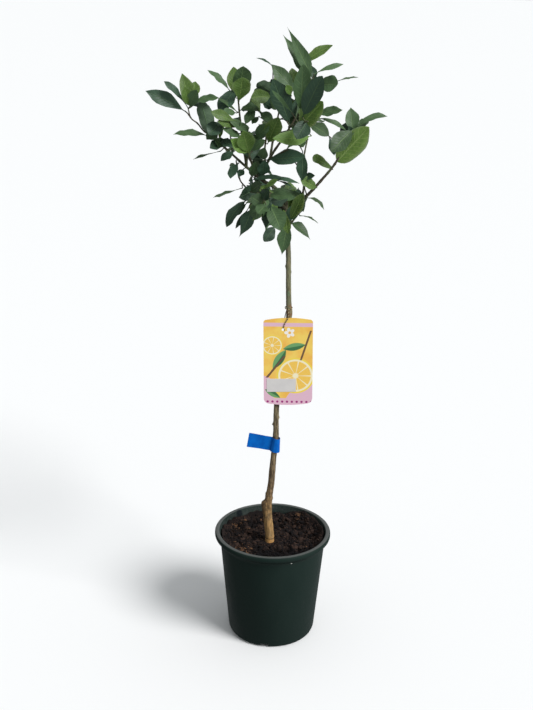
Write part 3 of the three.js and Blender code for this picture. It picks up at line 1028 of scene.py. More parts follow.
@dataclass
class Compost:
    """Coarse compost: an uneven bed under loose crumbs and chips of bark.

    Hollows and the heap are given by their middle and spread. Layers are the unevenness of the
    bed, clods and crumbs, each with its size, its place in the noise and its rise, and bank is
    how far the bed rises against the pot: everywhere, towards the right and towards both sides.
    """

    pot: Pot
    level: float = 167.0
    foot: tuple[float, float] = (-5.0, 0.0)
    hollows: tuple[Point, ...] = ((-36, 56, 10), (39, 44, 8), (70, 10, 8), (26, -66, 10), (-60, -18, 6))
    hollow_depth: float = 8.0
    heap: tuple[float, ...] = (54.0, 64.0, 24.0, 22.0)
    heap_rise: float = 7.0
    layers: tuple[Point, ...] = ((16, 3.1, 5.6), (8.5, 9.7, 4.4), (2.6, 5.5, 1.4))
    bank: Point = (11.0, 1.5, 6.5)
    front_drop: float = 5.0
    edge: float = 86.0
    rings: int = 46
    spokes: int = 150
    seed: int = 11
    peat: Peat = Peat("peat", tint(9, 9, 11), tint(49, 36, 31), 4.5)
    crumb: Peat = Peat("peat_crumb", tint(24, 19, 18), tint(75, 56, 47), 2.6)
    chip: Peat = Peat("bark_chip", tint(58, 42, 32), tint(124, 90, 62), 3.0, 0.8)
    dark: Peat = Peat("dark_crumb", tint(8, 8, 11), tint(34, 27, 26), 2.5)
    chip_beds: tuple[Point, ...] = ((-50, -34, 12), (-70, 38, 9), (50, 64, 5), (-52, -38, 8))

    def height(self, x: float, y: float) -> float:
        """Height of the bed at a place.

        Args:
            x: The place's X.
            y: The place's Y.

        Returns:
            The height, lower in front and banked up against the pot's back and sides.
        """
        loose = clamped((math.hypot(x - self.foot[0], y - self.foot[1]) - 8) / 16)
        edge = min(1.0, math.hypot(x, y) / self.edge)
        front = clamped((-y - 20) / 45)
        broad, clods, crumbs = (
            noise.noise(Vector((x / size, y / size, at))) * rise for size, at, rise in self.layers
        )
        dips = sum(fall(x - u, w) * fall(y - v, w) for u, v, w in self.hollows) * -self.hollow_depth
        u, v, wide, deep = self.heap
        level, right, sides = self.bank
        banked = level + right * x / self.edge + sides * (x / self.edge) ** 2
        banked = banked * edge**6 * (1 - 0.85 * front) - self.front_drop * front * edge**2
        banked += self.heap_rise * fall(x - u, wide) * fall(y - v, deep)
        return self.level + 0.3 + loose * (broad + clods + dips) + crumbs * (0.3 + 0.7 * loose) + banked

    def bed(self) -> None:
        """Builds the bed, down to the pot's floor."""
        widest = self.pot.inside(self.level + 6) - 0.4
        radii = [widest, *(widest * (1 - (k / self.rings) ** 1.15) for k in range(1, self.rings))]
        floor = self.pot.wall + 0.3
        low = self.pot.inside(14) - 0.6
        section = [(0.0, floor), (low - 8, floor), (low, 14.0), (self.pot.inside(150) - 0.5, 150.0)]
        shape = Shop.spun([*section, *((r, self.level) for r in radii), (0.0, self.level)], self.spokes)
        for vert in shape.verts:
            if vert.co.z > self.level - 1:
                vert.co.z = self.height(vert.co.x, vert.co.y)
        Shop.publish(Shop.from_bmesh("compost_bed", shape), "compost", [self.peat.material()], ["soil"], 80)

    def scatter(self, kind: Crumbs, finish: bpy.types.Material) -> None:
        """Strews joined crumbs of one kind over the bed.

        Args:
            kind: The crumbs.
            finish: Their material.
        """
        rng = np.random.default_rng(self.seed + kind.count)
        blank = bmesh.new()
        bmesh.ops.create_icosphere(blank, subdivisions=1, radius=0.5)
        corner = np.array([v.co for v in blank.verts])
        faces = [[v.index for v in f.verts] for f in blank.faces]
        blank.free()
        vertices, triangles = [], []
        reach = self.pot.inside(self.level) - 1
        least, most = kind.sizes
        while len(vertices) < kind.count:
            x, y = rng.uniform(-reach, reach, 2)
            if kind.beds and rng.random() < 0.6:
                middle = kind.beds[rng.integers(len(kind.beds))]
                x, y = rng.normal(middle[:2], middle[2])
            size = least + (most - least) * rng.random() ** 2.2
            from_foot = math.hypot(x - self.foot[0], y - self.foot[1])
            if math.hypot(x, y) + size > reach or from_foot < 10 + size:
                continue
            long, flat = size * kind.long * rng.uniform(0.8, 1.2), size * kind.flat * rng.uniform(0.7, 1.3)
            turn = Matrix.Rotation(rng.uniform(0, math.tau), 3, "Z")
            for axis in "YX":
                turn = turn @ Matrix.Rotation(rng.normal(0, 0.45), 3, axis)
            lump = corner * rng.uniform(0.72, 1.28, (len(corner), 1)) * (long, size, flat)
            triangles += [tuple(i + len(corner) * len(vertices) for i in face) for face in faces]
            place = [x, y, self.height(x, y) + flat * (0.5 - kind.sink)]
            vertices.append(lump @ np.array(turn).T + place)
        Shop.publish(Shop.from_arrays(kind.name, vertices, triangles), "compost", [finish], sharp=55)

    def build(self) -> None:
        """Builds the bed and everything that lies on it."""
        self.bed()
        finishes = {peat: peat.material() for peat in (self.crumb, self.chip, self.dark)}
        for kind in (
            Crumbs("crumbs_fine", 3000, (1.1, 3.2), 0.8, 1.1, self.crumb),
            Crumbs("crumbs_dark", 1300, (1.8, 7.0), 0.75, 1.15, self.dark),
            Crumbs("crumbs_lumps", 260, (4.0, 12.0), 0.7, 1.2, self.crumb, 0.5),
            Crumbs("bark_chips", 120, (1.6, 7.0), 0.45, 1.6, self.chip, 0.2, self.chip_beds),
        ):
            self.scatter(kind, finishes[kind.finish])


# Stem and boughs


@dataclass(frozen=True)
class Bump:
    """A bud scar, knob or swelling on the stem, with its spreads above, below and round it."""

    z: float
    angle: float
    rise: float
    above: float
    below: float
    wide: float


@dataclass
class Stem:
    """The bare trunk, from the flat cut at the ground to its fork."""

    line: tuple[Point, ...] = (
        (-5, 0, 155), (-5, 0, 172), (-6.4, 1, 194), (-9, 1, 218), (-8, 0, 247), (-6, 0, 263),
        (-3.4, -0.5, 284), (-2.2, -1, 307), (0, -0.5, 335), (2.6, 0, 367), (2.6, 0, 404), (3.6, 1, 430),
        (12, 2, 515), (20.6, 1, 580), (19.8, 1, 596), (18.5, 0.5, 630), (17.4, 0, 680), (14.5, 0, 720),
        (11, 0, 765),
    )
    radii: tuple[float, ...] = (
        7.2, 7.4, 7.6, 7.5, 6.4, 5.7, 5.5, 5.4, 4.9, 4.9, 4.5, 4.5, 4.6, 4.7, 4.4, 4.2, 4.1, 4.0, 3.8,
    )
    ground: float = 167.3
    flare: float = 0.5
    flare_height: float = 6.0
    groove_height: float = 175.0
    groove_depth: float = 0.7
    groove_spread: float = 1.1
    ridge_height: float = 0.42
    bark_height: float = 0.34
    smooth_from: float = 330.0
    smooth_by: float = 630.0
    sides: int = 32
    steps: int = 260
    bumps: tuple[Bump, ...] = (
        Bump(242, 182, 5.4, 3.4, 17, 32),
        Bump(259, 178, 1.5, 2.5, 4, 24),
        Bump(266, 285, 1.0, 3, 3, 30),
        Bump(251, 6, 1.2, 3, 5, 30),
        Bump(176, 330, 1.0, 3, 3, 40),
        Bump(389, 178, 2.6, 1.6, 2.4, 15),
        Bump(401, 4, 1.5, 2.2, 2.6, 18),
        Bump(370, 270, 0.7, 3, 3, 110),
        Bump(585, 10, 0.7, 7, 7, 60),
        Bump(661, 182, 1.4, 2.5, 3.5, 22),
        Bump(652, 2, 0.8, 2, 3, 20),
        Bump(600, 200, 0.6, 3, 3, 24),
    )

    def relief(self, z: float, angle: float) -> float:
        """What bumps, ridges, bark and groove add to the plain radius.

        Args:
            z: The height.
            angle: The angle round the stem in radians.

        Returns:
            The rise in millimetres.
        """
        rise = self.flare * math.exp(-max(0.0, z - self.ground) / self.flare_height)
        for bump in self.bumps:
            off = (math.degrees(angle) - bump.angle + 180) % 360 - 180
            spread = bump.above if z > bump.z else bump.below
            rise += bump.rise * fall(z - bump.z, spread) * fall(off, bump.wide)
        cosine, sine = math.cos(angle), math.sin(angle)
        ridges = noise.noise(Vector((cosine, sine, z / 34)) * 2.6) * self.ridge_height
        bark = noise.noise(Vector((cosine * 5, sine * 5, z / 5))) * self.bark_height
        rugged = 1.0 - 0.6 * clamped((z - self.smooth_from) / (self.smooth_by - self.smooth_from))
        groove = self.groove_depth * fall(z - self.groove_height, self.groove_spread)
        return rise + (ridges + bark) * rugged - groove

    def build(self, finish: bpy.types.Material) -> None:
        """Sweeps the stem with the relief of its bark.

        Args:
            finish: The stem's material.
        """
        run = run_of(np.array(self.line, float))
        line = smooth_line(self.line, self.steps)
        plain = np.interp(np.linspace(0, run[-1], self.steps), run, self.radii)
        first = int(np.argmax(line[:, 2] > self.ground))
        line, plain = line[first:], plain[first:]
        line[0, 2] = self.ground

        def radius(step: int, angle: float) -> float:
            """Plain radius and relief together."""
            return float(plain[step]) + self.relief(float(line[step, 2]), angle)

        shape = Shop.swept(line, radius, self.sides)
        Shop.publish(Shop.from_bmesh("stem", shape), "bark", [finish], ["trunk"], 75)


@dataclass(frozen=True)
class Bough:
    """One main limb, from inside its parent to its last twig, with its radii at both ends."""

    name: str
    line: tuple[Point, ...]
    foot: float
    tip: float

    def build(self, finish: bpy.types.Material) -> None:
        """Sweeps the limb, with swellings where buds sat.

        Args:
            finish: The limb's material.
        """
        length = float(run_of(np.array(self.line, float))[-1])
        steps = max(8, int(length / 2.6))
        phase = len(self.name) * 1.7

        def radius(step: int, angle: float) -> float:
            """Radius with nodes and a little unevenness.

            Args:
                step: The row of the tube.
                angle: The angle round it in radians.

            Returns:
                The radius.
            """
            share = step / (steps - 1)
            node = 0.5 + 0.5 * math.cos(share * length / 17 * math.tau + phase)
            place = Vector((math.cos(angle) * 2, math.sin(angle) * 2, share * length / 9 + phase))
            plain = self.foot + (self.tip - self.foot) * share
            return plain * (0.94 + 0.16 * node**6 + 0.1 * noise.noise(place))

        shape = Shop.from_bmesh(f"limb_{self.name}", Shop.swept(smooth_line(self.line, steps), radius, 12))
        Shop.publish(shape, "green_bark", [finish], [f"bough_{self.name}"], 70)


BOUGHS = (
    Bough(
        "right_arm", ((12, 0, 742), (41, -6, 772), (67, -9, 802), (85, -9, 825), (104, -9, 860)), 3.1, 1.5,
    ),
    Bough(
        "left_arm",
        (
            (12, 0, 762), (1, 0, 780), (-10, 0, 789), (-26, 2, 797), (-41, 4, 809), (-59, 5, 824),
            (-86, 5, 848),
            (-109, 5, 866), (-116, 4, 871), (-125, 3, 882), (-135, 3, 890), (-139, 2, 904),
        ),
        2.9, 0.9,
    ),
    Bough("leader", ((-22, 1, 794), (-24, -1, 808), (-12, -5, 836), (8, -8, 867), (30, -5, 904)), 2.5, 1.4),
    Bough("low_left", ((13, 0, 730), (-15, -8, 750), (-46, -14, 766)), 2.2, 1.3),
    Bough("low_right", ((14, 0, 722), (25, -6, 738), (34, -12, 752)), 2.0, 1.3),
    Bough("low_front", ((15, 0, 708), (6, -20, 730), (-3, -38, 747)), 2.0, 1.3),
    Bough("low_back", ((13, 0, 733), (6, 28, 752), (0, 58, 766)), 2.2, 1.3),
    Bough("front", ((11, 0, 750), (0, -32, 778), (-14, -66, 788), (-22, -94, 792)), 2.4, 1.2),
    Bough("back", ((34, -4, 764), (39, 10, 781), (40, 32, 799), (39, 56, 817), (46, 84, 852)), 2.0, 1.2),
    Bough("back_left", ((-50, 4, 816), (-50, 30, 823), (-51, 56, 832), (-52, 82, 834)), 1.8, 1.2),
    Bough("inner", ((-6, 1, 785), (-10, -12, 790), (-17, -28, 800)), 1.8, 1.1),
    Bough("rosette", ((-36, 5, 802), (-41, -18, 826), (-47, -26, 843)), 2.1, 1.3),
    Bough("left_tuft", ((-8, -6, 747), (-44, 8, 778), (-60, 6, 796), (-66, 0, 826)), 1.6, 1.0),
    Bough("left_crest", ((-50, 6, 817), (-56, 22, 850), (-61, 20, 890), (-64, 16, 921)), 2.1, 1.3),
    Bough("right_mid", ((-16, -4, 829), (0, -24, 842), (12, -36, 850)), 1.9, 1.2),
    Bough("shoulder", ((4, -7, 861), (26, -14, 874), (50, -18, 889)), 1.9, 1.2),
    Bough("centre", ((-21, -3, 818), (-22, 6, 846), (-16, 8, 884)), 1.8, 1.2),
    Bough("back_top", ((-14, -4, 832), (-8, 22, 866), (-2, 40, 892), (2, 60, 912)), 2.0, 1.2),
    Bough("front_top", ((14, -8, 880), (28, -44, 890), (40, -82, 898)), 1.9, 1.1),
)


# Leaves


@dataclass(frozen=True)
class View:
    """The photograph's camera, which turns its pixels into places and back."""

    eye: Point = (-15.0, -1644.0, 1092.0)
    pitch: float = 19.47
    roll: float = 0.82
    focal: float = 1066.0
    middle: tuple[float, float] = (266.5, 355.0)

    def axes(self) -> tuple[np.ndarray, np.ndarray, np.ndarray]:
        """The camera's directions.

        Returns:
            Right, up and forward.
        """
        pitch, roll = math.radians(self.pitch), math.radians(self.roll)
        level = np.array([1.0, 0.0, 0.0])
        rising = np.array([0.0, math.sin(pitch), math.cos(pitch)])
        ahead = np.array([0.0, math.cos(pitch), -math.sin(pitch)])
        return spoke(level, rising, roll), spoke(rising, -level, roll), ahead

    def spot(self, pixel: Pixel, depth: float) -> np.ndarray:
        """The place that shows at a pixel of the photograph.

        Args:
            pixel: The pixel.
            depth: The place's Y.

        Returns:
            The place.
        """
        right, rising, ahead = self.axes()
        across, down = (here - there for here, there in zip(pixel, self.middle))
        ray = ahead + (right * across - rising * down) / self.focal
        return np.array(self.eye) + ray * (depth - self.eye[1]) / ray[1]

    def pixel(self, place: np.ndarray) -> np.ndarray:
        """The pixel of the photograph at which a place shows.

        Args:
            place: The place.

        Returns:
            The pixel.
        """
        across, up, far = (float(np.dot(place - np.array(self.eye), axis)) for axis in self.axes())
        u, v = self.middle
        return np.array([u + self.focal * (across / far), v - self.focal * (up / far)])


@dataclass
class Leaf:
    """One leaf, from the twig it stands on to its tip. Its angles are in degrees."""

    base: np.ndarray
    tip: np.ndarray
    width: float
    facing: np.ndarray
    arch: float
    tone: Tone
    sway: float = 0.0
    fold: float = 14.0
    twist: float = 0.0
    blunt: float = 1.0
    skew: float = 1.0
    # Lightness within its tone: partly its own tone, partly painted light and shade.
    own: float = 0.45
    plain: bool = False
    wave: float = 0.8
    phase: float = 0.0


@dataclass(frozen=True)
class LeafForm:
    """The outline and thickness that many leaves share.

    Each row is a share of the length and the half width there as a share of the greatest. A wave
    has its pace along the leaf, how often it counts the leaf's phase, and the lag of one half
    behind the other: for the ripple of the edges, the swell between the veins and the outline.
    """

    rows: tuple[tuple[float, float], ...] = (
        (0.0, 0.0), (0.07, 0.0), (0.11, 0.08), (0.17, 0.26), (0.25, 0.49), (0.35, 0.74), (0.46, 0.93),
        (0.57, 1.0), (0.69, 0.94), (0.80, 0.74), (0.89, 0.43), (0.96, 0.16), (1.0, 0.01),
    )
    top_columns: tuple[float, ...] = (-1.0, -0.5, 0.0, 0.5, 1.0)
    under_columns: tuple[float, ...] = (0.5, 0.0, -0.5)
    stalk_radius: float = 0.75
    blade_thickness: float = 0.45
    uneven: float = 0.08
    stalk: float = 0.08
    stalk_fades: float = 0.16
    waves: tuple[Point, ...] = ((17, 1, 1.3), (13, 3, 2.4), (9, 2, 2.1))
    swell: float = 1.8

    @property
    def columns(self) -> tuple[float, ...]:
        """Places across the leaf, once over its top and back under it."""
        return (*self.top_columns, *self.under_columns)

    def faces(self) -> tuple[list[tuple[int, ...]], np.ndarray, list[tuple[float, float]]]:
        """The pattern of faces that each leaf repeats.

        Returns:
            Faces as vertex numbers, a 0 for each upper and 1 for each under face, and each
            vertex's place on the leaf from 0 to 1 across and along.
        """
        wide, stride = len(self.top_columns), len(self.columns)
        last = (len(self.rows) - 1) * stride
        faces, sides = [], []
        for a in range(0, last, stride):
            b = a + stride
            for j in range(stride):
                after, below = (j + 1) % stride, j >= wide - 1
                split = (a + after, b + j) if below else (a + j, b + after)
                faces += [(a + j, a + after, split[1]), (b + after, b + j, split[0])]
                sides += [int(below)] * 2
        faces += [tuple(range(stride))[::-1], tuple(range(last, last + stride))]
        places = [((t + 1) / 2, share) for share, _ in self.rows for t in self.columns]
        return faces, np.array([*sides, 1, 1]), places

    def vertices(self, leaf: Leaf) -> np.ndarray:
        """Shapes one leaf.

        Args:
            leaf: The leaf.

        Returns:
            Places of its vertices, in millimetres.
        """
        span = float(np.linalg.norm(leaf.tip - leaf.base))
        ahead = (leaf.tip - leaf.base) / span
        across = np.cross(ahead, leaf.facing)
        across = unit(across) if np.linalg.norm(across) > 0.05 else unit(np.cross(ahead, [0.3, 0.5, 0.8]))
        normal = np.cross(across, ahead)
        arch, sway, fold, twist = map(math.radians, (leaf.arch, leaf.sway, leaf.fold, leaf.twist))
        length = span / (np.sinc(arch / math.tau) * np.sinc(sway / math.tau))

        def heading(share: float) -> np.ndarray:
            """The midrib's direction at a share of its length."""
            bend, veer = arch * (0.5 - share), sway * (0.5 - share)
            return spoke(ahead, normal, bend) * math.cos(veer) + across * math.sin(veer)

        place, before, made = leaf.base.astype(float), 0.0, []
        shares, widths = zip(*self.rows)
        for share in shares:
            along = max(0.0, (share - self.stalk) / (1 - self.stalk)) ** leaf.skew
            wide = float(np.interp(self.stalk + (1 - self.stalk) * along, shares, widths)) if along else 0.0
            place = place + heading((share + before) / 2) * length * (share - before)
            before = share
            forward = unit(heading(share))
            lift = spoke(normal, -ahead, arch * (0.5 - share))
            lift = unit(lift - forward * float(np.dot(lift, forward)))
            lift = turned(lift, forward, twist * (share - 0.3))
            reach = np.cross(forward, lift)
            half = leaf.width / 2 * wide**leaf.blunt
            half = max(self.stalk_radius, half) if share < 0.95 else half
            stalk = 1.0 - min(1.0, share / self.stalk_fades)
            thick = self.blade_thickness + (2 * self.stalk_radius - self.blade_thickness) * stalk
            shut = fold * (1 - 0.35 * share)
            for k, t in enumerate(self.columns):
                off = abs(t)
                skin = 0.5 if k < len(self.top_columns) else -0.6
                ripple, swell, frill = (
                    math.sin(pace * share + leaf.phase * times + lag * (t > 0))
                    for pace, times, lag in self.waves
                )
                cupped = half * off * math.sin(shut) * (1.2 - 0.2 * off)
                height = cupped + leaf.wave * wide * off * (ripple + self.swell * swell * (1 - off))
                height += thick * skin * (1 - t * t) * (1 if wide > 0.1 else 1.3)
                across_by = half * (1 + self.uneven * off * frill) * t * math.cos(shut * off)
                made.append(place + reach * across_by + lift * height)
        return np.array(made)


FULL_FORM = LeafForm()
PLAIN_FORM = LeafForm(
    (
        (0.0, 0.0), (0.09, 0.02), (0.17, 0.26), (0.28, 0.57), (0.42, 0.88), (0.57, 1.0), (0.72, 0.91),
        (0.85, 0.60), (0.94, 0.24), (1.0, 0.01),
    ),
    (-1.0, 0.0, 1.0), (0.0,),
)


@dataclass(frozen=True)
class Seen:
    """A leaf that shows in the photograph.

    Foot and tip are pixel coordinates of the photograph, each with its own depth in millimetres.
    Turn is 0 where the upper side looks at the viewer, 90 where it looks up and the leaf is seen
    edge-on, and 180 where the underside shows. Light sets how dark or light the leaf is within its
    tone: partly its own tone, partly painted shade for leaves in shadow and painted light for lit
    ones. A skew above 1 moves its widest part towards the tip.
    """

    foot: Pixel
    tip: Pixel
    depth: tuple[float, float]
    width: float
    turn: float
    arch: float
    tone: Tone
    light: float = 0.45
    sway: float = 0.0
    blunt: float = 1.0
    fold: float = 19.0
    twist: float = 0.0
    skew: float = 1.0


@dataclass(frozen=True)
class Shoot:
    """A leafy shoot: its line, how many leaves its rule adds and which way they lean.

    Its side twigs reach for tips, each given as a pixel of the photograph and a depth. A shoot
    that is extra has no node of its own in the frame.
    """

    name: str
    line: tuple[Point, ...]
    fill: int = 3
    lean: Point = (0.0, 0.3, 0.1)
    tips: tuple[tuple[Pixel, float], ...] = ()
    extra: bool = False


@dataclass(frozen=True)
class Patch:
    """A round area of the photograph, in its pixels."""

    u: float
    v: float
    radius: float

    def clearance(self, pixel: np.ndarray) -> float:
        """How far inside the patch a pixel is; less than nought outside it."""
        return self.radius - math.hypot(pixel[0] - self.u, pixel[1] - self.v)


DEEP, LEAFY, FRESH, PALE = Tone.DEEP, Tone.LEAFY, Tone.FRESH, Tone.PALE

# Each seen leaf's tone and light carry painted light and shade as well as its own colour: leaves in shadow
# are painted darker and lit leaves lighter.
# Leaves of the left arm's end, its flank and its crest
LEFT_LEAVES = (
    Seen((186, 112), (145.4, 91), (0, -14), 23, 15, 10, DEEP, 0.5, 12, fold=16),
    Seen((188, 108), (164, 81.4), (-8, -18), 12, 30, 8, DEEP, 0.7, 20, 0.8, fold=24, skew=1.6),
    Seen((190, 107), (182, 73.2), (6, 18), 23, 8, -6, FRESH, 0.3, 8, skew=0.8),
    Seen((191, 105), (195.5, 81.5), (6, 26), 20, 10, 8, FRESH, 0.3, 0, 0.8),
    Seen((190, 107), (184.5, 86.5), (-2, -20), 19, 15, 10, FRESH, 0.35, 0, 0.75),
    Seen((190, 107), (197, 90), (-2, -22), 20, 20, 12, LEAFY, 0.85, 0, 0.75),
    Seen((191.5, 104), (219, 97.8), (-2, -10), 15, 48, 14, LEAFY, 0.65, -16, twist=20),
    Seen((192, 106), (207, 103.5), (2, 12), 15, 30, 12, DEEP, 0.4),
    Seen((199.5, 98.5), (209, 133.5), (0, -14), 26, 165, 12, DEEP, 0.7, 6, 0.7, skew=0.75),
    Seen((197, 101), (209, 114), (10, 24), 18, 10, 10, DEEP, 0.4),
    Seen((208, 136), (173.2, 134.5), (0, -8), 14, 38, 40, LEAFY, 0.4, 6, fold=12, twist=20),
    Seen((237, 121.5), (211, 111.5), (-20, -34), 17, 22, 12, FRESH, 0.2, -8, 0.8, skew=1.3),
    Seen((222, 122), (208.5, 135), (-10, -36), 25, 15, 12, DEEP, 0.35, 0, 0.85),
    Seen((219, 130), (206.5, 139.5), (-6, -20), 19, 20, 12, LEAFY, 0.3, 0, 0.9),
    Seen((236, 127), (217, 121), (-18, -36), 15, 30, 10, FRESH, 0.3),
    Seen((249, 132.5), (229, 120), (-12, -26), 16, 30, 12, LEAFY, 0.45),
    Seen((248.5, 137), (240, 122), (-8, -20), 15, 20, 12, LEAFY, 0.3),
    Seen((243, 138.5), (222, 128.5), (-14, -34), 14, 33, 12, LEAFY, 0.4),
    Seen((217, 139), (236, 147.5), (-6, -24), 16, 30, 14, DEEP, 0.5),
    Seen((222, 142), (209.8, 148.2), (0, -22), 17, 10, 16, DEEP, 0.6, 0, 0.85),
    Seen((226, 146), (214.5, 140), (-4, -16), 16, 20, 14, LEAFY, 0.3, 0, 0.85),
    Seen((214, 123), (210, 137), (6, -4), 15, 15, 12, DEEP, 0.4),
    Seen((238, 112.5), (217.5, 98), (8, -6), 10, 55, 8, LEAFY, 0.5),
    Seen((236.5, 113), (222.5, 112), (0, -20), 14, 35, 14, LEAFY, 0.4),
    Seen((230, 91), (207.5, 70.2), (18, 26), 14, 46, 6, LEAFY, 0.5, 22),
    Seen((236, 98), (233.6, 66.8), (20, 30), 23, 8, -6, FRESH, 0.45, 0, 0.75, 8),
    Seen((239, 101), (243.4, 66.2), (14, 0), 30, 10, -10, LEAFY, 0.35, 0, 0.75, skew=1.5),
    Seen((239, 101.5), (242.8, 77.5), (4, -12), 30, 12, 8, FRESH, 0.5, 0, 0.5, skew=1.6),
    Seen((236, 88), (218.5, 111.5), (14, 0), 24, 15, 10, DEEP, 0.6, -8, 0.8),
    Seen((239.5, 111), (259, 109), (8, -6), 17, 40, 66, LEAFY, 0.5),
    Seen((261, 112), (250.5, 98.3), (0, 10), 17, 165, 16, FRESH, 0.4, 14, 0.8),
    Seen((256, 109), (245.5, 124), (4, -16), 17, 30, 30, LEAFY, 0.55, 0, 0.9),
    Seen((259, 116.5), (252, 124), (6, -8), 11, 30, 24, LEAFY, 0.6),
)

# Leaves round the middle of the crown
MIDDLE_LEAVES = (
    Seen((249.5, 154), (243, 130.5), (-26, -56), 28, 10, -8, FRESH, 0.62, 0, 0.85),
    Seen((249, 153.5), (230.5, 139.5), (-24, -50), 22, 20, 10, FRESH, 0.7, 0, 0.85),
    Seen((250, 154), (249.5, 131), (-22, -44), 15, 20, 8, LEAFY, 0.85),
    Seen((252.5, 151), (264.8, 139.8), (-20, -30), 14, 25, 14, LEAFY, 0.85, 0, 0.75),
    Seen((235, 151), (220.6, 161), (0, -12), 15, 30, 20, DEEP, 0.95),
    Seen((221, 151), (193.2, 159.3), (6, 0), 9, 62, 10, LEAFY, 0.45, -8, 1.4, skew=1.7),
    Seen((239, 163), (230.4, 178.6), (0, -14), 16, 25, 24, DEEP, 0.87, 22, 0.9),
    Seen((244, 168.5), (238.5, 177), (2, -12), 12, 20, 14, DEEP, 1),
    Seen((262, 160.5), (265, 147.3), (-20, -44), 17, 15, 12, LEAFY, 0.7),
    Seen((262, 177), (264.5, 160), (-16, -34), 20, 15, 12, DEEP, 0.85),
    Seen((252, 178), (255, 162), (-12, -30), 18, 15, 12, LEAFY, 0.6),
    Seen((253.6, 140), (270, 124), (0, -16), 20, 20, 12, LEAFY, 0.8),
    Seen((259, 111.5), (273.5, 122), (4, -10), 16, 15, 14, LEAFY, 0.65),
    Seen((267.5, 144), (279, 117.5), (-4, -22), 29, 12, 10, FRESH, 0.47, 0, 0.8),
    Seen((311.5, 136), (272.5, 138.5), (-44, -62), 26, 24, 0, FRESH, 1, -16, 0.85, skew=0.75),
    Seen((308.5, 120), (296.5, 139), (-62, -80), 26, 4, 12, DEEP, 0.3, 6, 0.8),
    Seen((267.5, 159.5), (305.5, 156), (-14, -52), 26, 22, 6, DEEP, 1, 6, 0.85),
    Seen((302.5, 151), (302, 181), (-18, -30), 19, 12, 20, DEEP, 0.75, -14, twist=25),
    Seen((317, 188), (300.5, 179.5), (-10, -24), 20, 25, 12, FRESH, 0.25, 0, 0.7),
    Seen((303, 178), (315, 175.5), (-10, -26), 12, 20, 10, DEEP, 0.85),
    Seen((261, 179), (299.5, 183.5), (-20, -30), 10, 45, 36, DEEP, 0.95),
    Seen((265, 188), (278, 179.5), (-46, -60), 11, 35, 12, FRESH, 0.85),
    Seen((277, 180.5), (292, 187), (-24, -34), 6, 50, 20, DEEP),
    Seen((249, 181), (284, 177.5), (-20, -30), 10, 42, 30, DEEP, 0.72),
)

# Leaves of the crown's top and of the right arm
TOP_LEAVES = (
    Seen((313, 80), (287, 26.6), (0, -8), 22, 22, -6, LEAFY, 0.4, 6, 1.7, fold=24, skew=0.6),
    Seen((304, 76), (283, 34.8), (4, 10), 18, 22, 8, LEAFY, 0.45, 18, 1.3, fold=20, skew=0.6),
    Seen((301.5, 115), (303, 63.5), (-44, -84), 29, 18, -6, LEAFY, 0.55, 0, 0.75),
    Seen((299, 66), (332.8, 45.2), (6, 14), 17, 30, 10, FRESH, 0.2, -12, 0.85),
    Seen((314, 74), (343.5, 64.2), (4, 18), 10, 50, 26, LEAFY, 0.6, 6, fold=10, twist=50),
    Seen((314, 82), (311.5, 65.5), (14, 24), 14, 15, 8, DEEP, 0.4),
    Seen((336, 81.5), (358.3, 77.3), (0, 0), 8, 70, 14, LEAFY, 0.4),
    Seen((302.5, 117), (322.5, 76), (-66, -100), 29, 14, 8, DEEP, 0.7, 0, 0.65),
    Seen((320, 85), (338, 83.5), (-4, -24), 26, 20, 10, LEAFY, 0.75, 0, 0.5),
    Seen((315, 115), (342.6, 110), (-14, -24), 17, 33, 12, LEAFY, 0.35),
    Seen((316, 118), (346, 130.5), (-10, -6), 11, 48, 44, LEAFY, 0.5),
    Seen((308, 122.5), (329, 136), (-30, -42), 22, 30, 14, LEAFY, 0.1, 0, 0.8),
    Seen((297.5, 129.5), (323, 101.5), (-56, -76), 33, 14, 8, FRESH, 0.4, 0, 0.7),
    Seen((296, 93), (271.5, 64.3), (-6, 4), 22, 22, 10, LEAFY, 0.35),
    Seen((273, 66.5), (256.5, 58), (8, 12), 8, 66, 30, DEEP),
    Seen((295, 86), (291.8, 68), (16, 26), 17, 20, 8, FRESH, 0.25),
    Seen((290, 124.5), (273, 79), (-14, -40), 30, 12, 8, DEEP, 0.3, 0, 0.7),
    Seen((291.5, 112), (272, 90.3), (-44, -58), 7, 20, 6, LEAFY, 0.6, 0, 0.7),
    Seen((291.5, 96), (286.5, 84.5), (-30, -36), 12, 10, 8, FRESH, 0.7),
    Seen((272, 97), (250.8, 97.5), (-10, -24), 23, 10, 10, FRESH, 0.1, 12, 0.85),
    Seen((272, 92.5), (257.3, 83), (2, -14), 19, 160, 12, DEEP, 0.4, 0, 0.6),
    Seen((274, 108), (262, 101), (-4, -16), 17, 15, 12, DEEP, 0.4),
    Seen((279, 110), (270.5, 99.5), (0, -18), 15, 15, 12, LEAFY, 0.3),
    Seen((276, 87), (271, 79), (2, 8), 9, 15, 8, DEEP),
    Seen((353, 132), (350.8, 107.5), (-6, 6), 24, 10, -4, LEAFY, 0.5, 0, 1.1, skew=0.8),
    Seen((353, 131), (369.5, 119), (-2, 8), 15, 25, 8, LEAFY, 0.2),
    Seen((352.3, 135), (387.3, 116.5), (-20, -8), 12, 44, 66, LEAFY, 0.5, -42, fold=12, twist=30, skew=1.4),
    Seen((334.5, 164.3), (369, 127), (-8, -30), 40, 14, -8, PALE, 0.45, 0, 0.68, 10, skew=0.8),
    Seen((353, 129), (331, 152), (-16, -44), 28, 8, 10, LEAFY, 0.1, 0, 0.75),
    Seen((352, 134), (348.5, 126), (-10, -22), 9, 15, 8, DEEP),
    Seen((328.8, 136), (334.3, 155.5), (-4, -10), 13, 25, 12, DEEP, 0.5),
    Seen((333, 169.5), (312.8, 156.5), (-8, -14), 15, 24, 8, FRESH, 0.15, 0, 0.3, 16, skew=1.9),
)

